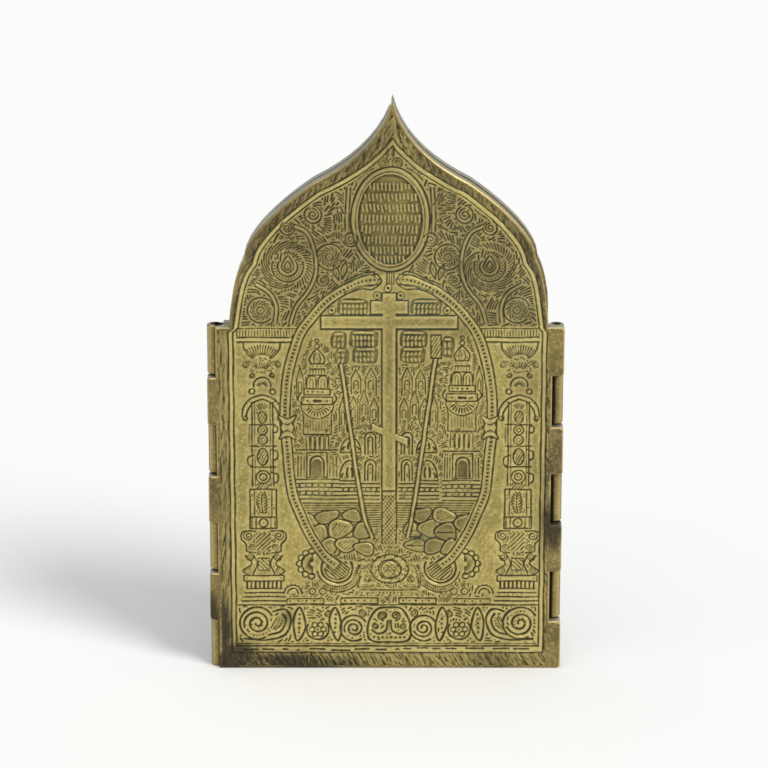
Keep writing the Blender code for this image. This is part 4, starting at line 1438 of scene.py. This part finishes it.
# Where the cuts are bluest
COVER_VERDIGRIS = (
    ((8.0, 118.0), (26.0, 12.0), 0.75), ((42.0, 112.0), (7.0, 16.0), 1.0), ((40.0, 98.0), (8.0, 9.0), 1.0),
    ((20.0, 7.0), (26.0, 3.0), 0.9), ((-44.0, 124.0), (6.0, 10.0), 0.7), ((-9.0, 98.0), (8.0, 7.0), 0.7),
    ((-22.0, 57.0), (9.0, 4.0), 0.8), ((9.0, 41.5), (4.0, 2.5), 1.0), ((-40.0, 80.0), (8.0, 12.0), 0.35),
    ((26.0, 135.0), (14.0, 14.0), 0.55), ((21.0, 57.0), (8.0, 4.0), 0.6), ((-6.0, 14.0), (12.0, 6.0), 0.4),
)


def engraved_cover():
    """The whole engraving of the cover."""
    rng = np.random.default_rng(SEED)
    outline = leaf_outline(LEFT_EDGE, RIGHT_EDGE, HEAD_HALF_WIDTH, HEAD_HALF_WIDTH, HEAD_HEIGHT)
    plate = Plate(inset(outline, RIM_OVERLAP), COVER_CELL)
    border(plate, rng)
    field = head_field(plate)
    cartouche(plate, rng)
    head_foliage(plate, field, rng)
    entablature(plate)
    for x in PILASTER_PLACES:
        pilaster(plate, x, rng)
    frieze(plate, rng)
    shells(plate, rng)
    city(plate, rng)
    ground_and_rocks(plate, rng)
    spear_and_reed(plate)
    tally_blocks(plate, rng)
    small_rings(plate)
    column_of_lozenges(plate)
    cross(plate, rng)
    wreath(plate)
    pitting(plate, rng, 9000)
    for spot in COVER_STAINS:
        plate.tarnish = np.maximum(plate.tarnish, plate.patch(*spot))
    for spot in COVER_VERDIGRIS:
        plate.verdigris = np.maximum(plate.verdigris, plate.patch(*spot))
    edge = plate.inside(border_path(*BORDER_LINES[0][:3], FILED_FOOT))
    head = (plate.z > BODY_HEIGHT)[:, None]
    plate.tarnish = np.maximum(plate.tarnish, np.where(edge, 0.0, np.where(head, 0.55, 0.3)))
    return plate


# Meshes

# The sides of a mesh cell: the step to its neighbour by row and column, then the side's two corners
CELL_SIDES = (
    ((-1, 0), (0, 0), (0, 1)),
    ((0, 1), (0, 1), (1, 1)),
    ((1, 0), (1, 1), (1, 0)),
    ((0, -1), (1, 0), (0, 0)),
)


def wear_of(plate, heights):
    """For each corner of the mesh how deep it lies in a cut, how far it stands proud and its tarnish."""
    near = box_mean(heights, max(1, round(1.1 / plate.cell)))
    cut = np.clip((near - heights) / 0.1, 0.0, 1.0)
    proud = np.clip((heights - near) / 0.09, 0.0, 1.0)
    return np.stack([cut, proud, averaged(plate.tarnish), averaged(plate.verdigris)], axis=-1)


def relief(name, plate, heights, wear, rows, side, surface, back, body, material):
    """A closed mesh of part of a plate, between two rows of its cells.

    The side is -1 where the face looks towards -Y, and 1 where it looks towards +Y. The surface is the
    depth of its level parts, and the back is where the mesh ends inside the leaf.
    """
    filled = plate.inside(plate.outline)[1::2, 1::2].copy()
    filled[: rows[0]] = False
    filled[rows[1]:] = False
    around = np.pad(filled, 1)
    used = around[:-1, :-1] | around[:-1, 1:] | around[1:, :-1] | around[1:, 1:]
    edge = used & ~(around[:-1, :-1] & around[:-1, 1:] & around[1:, :-1] & around[1:, 1:])
    top, under = -np.ones(used.shape, int), -np.ones(used.shape, int)
    top[used] = np.arange(used.sum())
    under[edge] = used.sum() + np.arange(edge.sum())

    x, z = np.meshgrid(plate.x[::2], plate.z[::2])
    y = surface + side * heights
    front = np.column_stack([x[used] + CENTRE, y[used], z[used]])
    rear = np.column_stack([x[edge] + CENTRE, np.full(edge.sum(), back), z[edge]])

    r, c = np.nonzero(filled)
    quads = np.column_stack([top[r, c], top[r, c + 1], top[r + 1, c + 1], top[r + 1, c]])
    face_count = len(quads)
    skirts = []
    for (dr, dc), start, end in CELL_SIDES:
        open_side = ~around[1 + r + dr, 1 + c + dc]
        a = (r[open_side] + start[0], c[open_side] + start[1])
        b = (r[open_side] + end[0], c[open_side] + end[1])
        skirts.append(np.column_stack([top[b], top[a], under[a], under[b]]))
    faces = [*np.vstack([quads, *skirts]).tolist()]
    for row in np.unique(r):
        cells = np.flatnonzero(filled[row])
        span = np.arange(cells[0], cells[-1] + 2)
        above, below = (under[line, span] for line in (row + 1, row))
        faces.append([*above[above >= 0].tolist(), *below[below >= 0][::-1].tolist()])
    if side > 0:
        faces = [face[::-1] for face in faces]

    mesh = bpy.data.meshes.new(name)
    mesh.from_pydata((np.vstack([front, rear]) * MM).tolist(), [], faces)
    smooth = np.arange(len(faces)) < face_count
    mesh.polygons.foreach_set("use_smooth", smooth)
    slope_z, slope_x = np.gradient(heights, plate.cell)
    normals = np.column_stack([-slope_x[used], np.full(used.sum(), side), -slope_z[used]])
    normals = np.vstack([normals / np.linalg.norm(normals, axis=1, keepdims=True), np.zeros((len(rear), 3))])
    corners = np.zeros(len(mesh.loops), int)
    mesh.loops.foreach_get("vertex_index", corners)
    corner_normals = normals[corners]
    corner_normals[4 * face_count:] = 0.0
    mesh.normals_split_custom_set(corner_normals.tolist())
    colours = mesh.attributes.new("wear", "FLOAT_COLOR", "POINT")
    colours.data.foreach_set("color", np.vstack([wear[used], wear[edge]]).ravel())
    mesh.materials.append(material)
    obj = bpy.data.objects.new(name, mesh)
    bpy.context.collection.objects.link(obj)
    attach(obj, body)
    return obj


# Materials

def tint(red, green, blue):
    """A colour given by its screen values from 0 to 255, in linear light."""
    shares = [value / 255 for value in (red, green, blue)]
    return (*[s / 12.92 if s <= 0.04045 else ((s + 0.055) / 1.055) ** 2.4 for s in shares], 1.0)


PATINA = 0.5
TARNISH = tint(70, 62, 47)
# Dark colour of the doors: their patina, and the painted shade in the gap beside the hinge barrels
TARNISH_AND_GAP_SHADE = tint(38, 34, 25)
VERDIGRIS = tint(54, 78, 74)
# Pale colour of a painted reflection of the sky on edges that face up
SKY_REFLECTION_TINT = tint(204, 206, 192)
RIM_STAINS = (
    (50.0, 46.0, 3.2, 11.0), (-47.0, 1.0, 14.0, 5.0), (-52.0, 12.0, 3.0, 16.0), (-28.0, 0.0, 18.0, 3.0),
)


def tints(body, bright, shade, cut_colour):
    """The four colours of one kind of brass."""
    given = {"body": body, "bright": bright, "shade": shade, "cut_colour": cut_colour}
    return {name: tint(*colour) for name, colour in given.items()}


COVER_TINTS = tints((186, 169, 99), (232, 214, 146), (142, 127, 72), (50, 47, 31))
RIM_TINTS = tints((150, 132, 80), (208, 184, 124), (104, 92, 58), (46, 44, 30))
DOOR_TINTS = tints((156, 138, 82), (206, 184, 124), (116, 100, 58), (52, 48, 32))
INNER_TINTS = tints((168, 146, 84), (222, 196, 124), (122, 102, 58), (58, 50, 32))
PIN_TINTS = tints((112, 88, 52), (150, 122, 76), (80, 62, 38), (50, 42, 30))


class Shader:
    """A material's node tree, with short calls for the nodes that it is made of."""

    def __init__(self, name):
        self.material = bpy.data.materials.new(name)
        self.material.use_nodes = True
        self.tree = self.material.node_tree
        self.surface = self.tree.nodes["Principled BSDF"]
        coordinates = self.node("ShaderNodeTexCoord").outputs
        self.place, self.facing = coordinates["Object"], coordinates["Normal"]

    def node(self, kind, inputs=None, **settings):
        """A new node with its inputs fed and its settings set."""
        made = self.tree.nodes.new(kind)
        for name, value in settings.items():
            setattr(made, name, value)
        for name, value in (inputs or {}).items():
            self.feed(made.inputs[name], value)
        return made

    def feed(self, socket, value):
        """Link another node's output to a socket, or set the socket's value."""
        if isinstance(value, bpy.types.NodeSocket):
            self.tree.links.new(value, socket)
        else:
            socket.default_value = value

    def noise(self, scale, detail=4.0, roughness=0.55, stretch=(1, 1, 1), turn=(0, 0, 0), distortion=0.0):
        where = self.node("ShaderNodeMapping", {"Vector": self.place, "Rotation": turn, "Scale": stretch})
        values = {"Vector": where.outputs[0], "Scale": scale, "Detail": detail, "Roughness": roughness,
                  "Distortion": distortion}
        return self.node("ShaderNodeTexNoise", values).outputs["Fac"]

    def split(self, vector):
        """The x, y and z of a vector."""
        return self.node("ShaderNodeSeparateXYZ", {"Vector": vector}).outputs

    def span(self, value, low, high, to_low=0.0, to_high=1.0):
        """A value between two bounds, spread from one number to another."""
        bounds = {"Value": value, "From Min": low, "From Max": high, "To Min": to_low, "To Max": to_high}
        return self.node("ShaderNodeMapRange", bounds).outputs[0]

    def maths(self, operation, *values):
        """The result of one sum on values or outputs."""
        return self.node("ShaderNodeMath", dict(enumerate(values)), operation=operation).outputs[0]

    def mix(self, factor, first, second):
        """One colour mixed into another."""
        return self.node("ShaderNodeMix", {0: factor, 6: first, 7: second}, data_type="RGBA").outputs[2]

    def bump(self, height, distance, strength):
        inputs = {"Height": height, "Distance": distance, "Strength": strength}
        return self.node("ShaderNodeBump", inputs).outputs[0]


def stains(shader, spots):
    """How strongly a place is covered by round dark stains: each has x, z and two radii, in millimetres."""
    x, _, z = shader.split(shader.place)
    covered = 0.0
    for centre_x, centre_z, wide, high in spots:
        across = shader.span(x, (centre_x - wide) * MM, (centre_x + wide) * MM, -1.0, 1.0)
        up = shader.span(z, (centre_z - high) * MM, (centre_z + high) * MM, -1.0, 1.0)
        squares = [shader.maths("MULTIPLY", off, off) for off in (across, up)]
        apart = shader.maths("ADD", *squares)
        covered = shader.maths("MAXIMUM", covered, shader.span(apart, 0.9, 0.3))
    return covered


def brass(name, engraved, body, bright, shade, cut_colour, shaded_gap=False, spots=()):
    """Old cast brass: rubbed bright where it stands proud, dark and bluish in the cuts, brown in patches;
    where not engraved, a painted highlight on rubbed slanted edges and a painted sky reflection on edges
    facing up; on the doors, painted shade in the gaps by the hinge barrels.
    """
    shader = Shader(name)
    clouds = shader.noise(70.0, 5.0, 0.6)
    speckle = shader.noise(1100.0, 4.0, 0.65)
    blotches = shader.noise(45.0, 6.0, 0.65, distortion=0.6)
    grain = shader.noise(3200.0, 2.0, 0.5)
    hairs = shader.noise(1.0, 3.0, 0.6, (2600, 2600, 130), (0, 0.45, 0))
    rubbed = shader.span(shader.noise(90.0, 2.0), 0.45, 0.6)
    scratches = shader.maths("MULTIPLY", shader.span(hairs, 0.6, 0.72), rubbed)
    colour = shader.mix(shader.span(clouds, 0.35, 0.68), shade, body)
    colour = shader.mix(shader.span(speckle, 0.52, 0.72, 0.0, 0.6), colour, bright)
    colour = shader.mix(shader.span(speckle, 0.46, 0.3, 0.0, 0.8), colour, shade)
    dark = shader.maths("MULTIPLY", shader.span(blotches, 0.52, 0.72), PATINA)
    if not engraved:
        # Slanted faces such as chamfers and the round of a barrel are lightened: rubbed edge wear, and also a
        # painted highlight
        _, across, upward = shader.split(shader.facing)
        slant = shader.maths("ABSOLUTE", across)
        edges = shader.maths("MULTIPLY", shader.span(slant, 0.35, 0.6), shader.span(slant, 0.98, 0.8))
        colour = shader.mix(shader.maths("MULTIPLY", edges, 0.5), colour, bright)
        # Faces that look up and across the leaf, such as the sloped edges of the head, get a pale painted
        # reflection of the sky
        across_leaf = shader.span(slant, 0.45, 0.1, 0.0, 0.7)
        sky_reflection = shader.maths("MULTIPLY", shader.span(upward, 0.15, 0.5), across_leaf)
        colour = shader.mix(sky_reflection, colour, SKY_REFLECTION_TINT)
    if spots:
        ragged = shader.span(blotches, 0.36, 0.5, 0.55, 0.95)
        dark = shader.maths("MAXIMUM", dark, shader.maths("MULTIPLY", stains(shader, spots), ragged))
    # Painted shade: a dark band across the gap between the leaf's notched lip and the hinge barrels
    if shaded_gap:
        off_middle = shader.maths("ABSOLUTE", shader.split(shader.place)[0])
        outer, inner = shader.span(off_middle, 0.0505, 0.0498), shader.span(off_middle, 0.0476, 0.0479)
        dark = shader.maths("MAXIMUM", dark, shader.maths("MULTIPLY", outer, inner))
    if engraved:
        worn = shader.node("ShaderNodeAttribute", attribute_name="wear").outputs
        cut, proud, tarnish = shader.node("ShaderNodeSeparateColor", {"Color": worn["Color"]}).outputs
        colour = shader.mix(shader.maths("MULTIPLY", proud, 0.5), colour, bright)
        mottle = shader.maths("ADD", blotches, shader.maths("MULTIPLY", speckle, 0.4))
        streaks = shader.span(mottle, 0.5, 0.78, 0.3, 1.3)
        dark = shader.maths("MULTIPLY", dark, 0.45)
        dark = shader.maths("ADD", dark, shader.maths("MULTIPLY", tarnish, streaks))
        dark = shader.maths("MINIMUM", dark, 0.96)
    colour = shader.mix(dark, colour, TARNISH_AND_GAP_SHADE if shaded_gap else TARNISH)
    if engraved:
        blue = shader.maths("MULTIPLY", worn["Alpha"], shader.span(shader.noise(160.0, 4.0, 0.6), 0.4, 0.6))
        deep = shader.mix(shader.maths("MINIMUM", blue, 0.9), cut_colour, VERDIGRIS)
        colour = shader.mix(shader.span(cut, 0.0, 0.8, 0.0, 0.9), colour, deep)
    colour = shader.mix(shader.maths("MULTIPLY", scratches, 0.45), colour, bright)
    shader.feed(shader.surface.inputs["Base Color"], colour)
    shader.surface.inputs["Metallic"].default_value = 0.8
    rough = shader.maths("ADD", clouds, shader.maths("MULTIPLY", dark, 0.5))
    shader.feed(shader.surface.inputs["Roughness"], shader.span(rough, 0.3, 1.0, 0.34, 0.62))
    relief_noise = shader.maths("ADD", shader.maths("MULTIPLY", grain, 0.35), speckle)
    relief_noise = shader.maths("SUBTRACT", relief_noise, shader.maths("MULTIPLY", scratches, 0.8))
    shader.feed(shader.surface.inputs["Normal"], shader.bump(relief_noise, 0.00008, 0.6))
    return shader.material


def floor_material():
    """Pale matt board with hardly any grain."""
    shader = Shader("pale_floor")
    colour = shader.mix(shader.noise(6.0, 3.0), tint(226, 226, 225), tint(230, 230, 229))
    shader.feed(shader.surface.inputs["Base Color"], colour)
    shader.surface.inputs["Roughness"].default_value = 0.9
    shader.surface.inputs["Specular IOR Level"].default_value = 0.1
    return shader.material


# The stage

FLOOR_SIZE = 8.0
CAMERA_TILT = math.radians(18.0)
CAMERA_DISTANCE = 1.1
CAMERA_LENS = 175.0
PIVOT_HEIGHT = 0.080
AIM_HEIGHT = 0.0897
CAMERA_X = -0.00044


def stage():
    """A large pale floor."""
    mesh = bpy.data.meshes.new("floor")
    half = FLOOR_SIZE / 2
    corners = [(-half, -half, 0), (half, -half, 0), (half, half, 0), (-half, half, 0)]
    mesh.from_pydata(corners, [], [(0, 1, 2, 3)])
    mesh.materials.append(floor_material())
    floor = bpy.data.objects.new("floor", mesh)
    bpy.context.collection.objects.link(floor)


def sun(name, turn, height, spread, strength, colour):
    """A soft even lamp far away. Its turn runs from the front to the right, in degrees."""
    light = bpy.data.lights.new(name, "SUN")
    light.angle = math.radians(spread)
    light.energy = strength
    light.color = colour
    side, rise = math.radians(turn), math.radians(height)
    way = Vector((math.sin(side) * math.cos(rise), -math.cos(side) * math.cos(rise), math.sin(rise)))
    obj = bpy.data.objects.new(name, light)
    obj.location = way
    obj.rotation_euler = way.to_track_quat("Z", "Y").to_euler()
    bpy.context.collection.objects.link(obj)


def lights():
    """A soft key from the right and above, a softer light from overhead and a pale world."""
    sun("key", 48.0, 42.0, 24.0, 2.3, (1.0, 0.985, 0.955))
    sun("overhead", -20.0, 78.0, 70.0, 1.2, (0.96, 0.98, 1.0))
    world = bpy.data.worlds.new("pale_world")
    world.use_nodes = True
    background = world.node_tree.nodes["Background"]
    background.inputs["Color"].default_value = (0.965, 0.985, 1.0, 1.0)
    background.inputs["Strength"].default_value = 0.42
    bpy.context.scene.world = world


def camera():
    """The camera looks down on the cover from a little left of its middle."""
    data = bpy.data.cameras.new("camera")
    data.lens = CAMERA_LENS
    data.sensor_width = 36.0
    data.clip_start = 0.05
    obj = bpy.data.objects.new("camera", data)
    front = COVER_Y * MM
    place = Vector((CAMERA_X, front - CAMERA_DISTANCE * math.cos(CAMERA_TILT),
                    PIVOT_HEIGHT + CAMERA_DISTANCE * math.sin(CAMERA_TILT)))
    aim = Vector((CAMERA_X, front, AIM_HEIGHT))
    obj.location = place
    obj.rotation_euler = (aim - place).to_track_quat("-Z", "Y").to_euler()
    bpy.context.collection.objects.link(obj)
    bpy.context.scene.camera = obj
    bpy.context.scene.view_settings.view_transform = "Standard"


# Putting it together

def build_cover(material):
    """The cover's engraving in four pieces, from the foot up to the head."""
    plate = engraved_cover()
    heights = np.minimum(plate.heights(), PROUDEST)
    wear = wear_of(plate, heights)
    bounds = [0, *(round((z - plate.z[0]) / plate.cell) for z in COVER_SPLITS), heights.shape[0]]
    surface, back = COVER_Y + FACE_SINK, COVER_Y + RECESS - BED_GAP
    for part, rows in zip(("foot", "waist", "shoulder", "head"), zip(bounds, bounds[1:])):
        name = f"cover_engraving_{part}"
        relief(name, plate, heights, wear, rows, -1, surface, back, "main_leaf", material)


def whole_relief(name, plate, side, surface, back, body, material):
    """A relief in one piece."""
    heights = plate.heights()
    rows = (0, heights.shape[0])
    relief(name, plate, heights, wear_of(plate, heights), rows, side, surface, back, body, material)


def build_other_faces(back_material, inner_material):
    """The doors' backs, and the inner faces that show when the doors are open."""
    inside, bed = INNER_LEVEL, INNER_BED
    outside, back_bed = BACK_Y - FACE_SINK, BACK_Y - RECESS + BED_GAP
    whole_relief("main_inner_relief", main_inner_face(), 1, -inside, -bed, "main_leaf",
                 inner_material)
    for side, body in ((1, "right_door"), (-1, "left_door")):
        whole_relief(f"{body}_back_engraving", door_back(side), 1, outside, back_bed, body,
                     back_material)
        whole_relief(f"{body}_inner_relief", door_inner_face(side), -1, inside, bed, body,
                     inner_material)


def finish_solids(cover, doors, pins):
    """Give each solid its own brass, and smooth its round faces."""
    for node, material in (("central_leaf", cover), ("left_door", doors), ("right_door", doors),
                           ("left_hinge_pin", pins), ("right_hinge_pin", pins)):
        mesh = bpy.data.objects[node].data
        mesh.materials.clear()
        mesh.materials.append(material)
        mesh.shade_smooth()
        mesh.set_sharp_from_angle(angle=math.radians(24))


camera()
lights()
stage()
build_cover(brass("engraved_cover_brass", True, **COVER_TINTS))
build_other_faces(brass("door_back_brass", True, **DOOR_TINTS), brass("inner_brass", True, **INNER_TINTS))
finish_solids(
    brass("cover_rim_brass", False, **RIM_TINTS, spots=RIM_STAINS),
    # The doors' brass has painted shade in the gap beside its hinge barrels
    brass("door_leaf_brass", False, **DOOR_TINTS, shaded_gap=True),
    brass("pin_wire_brass", False, **PIN_TINTS),
)
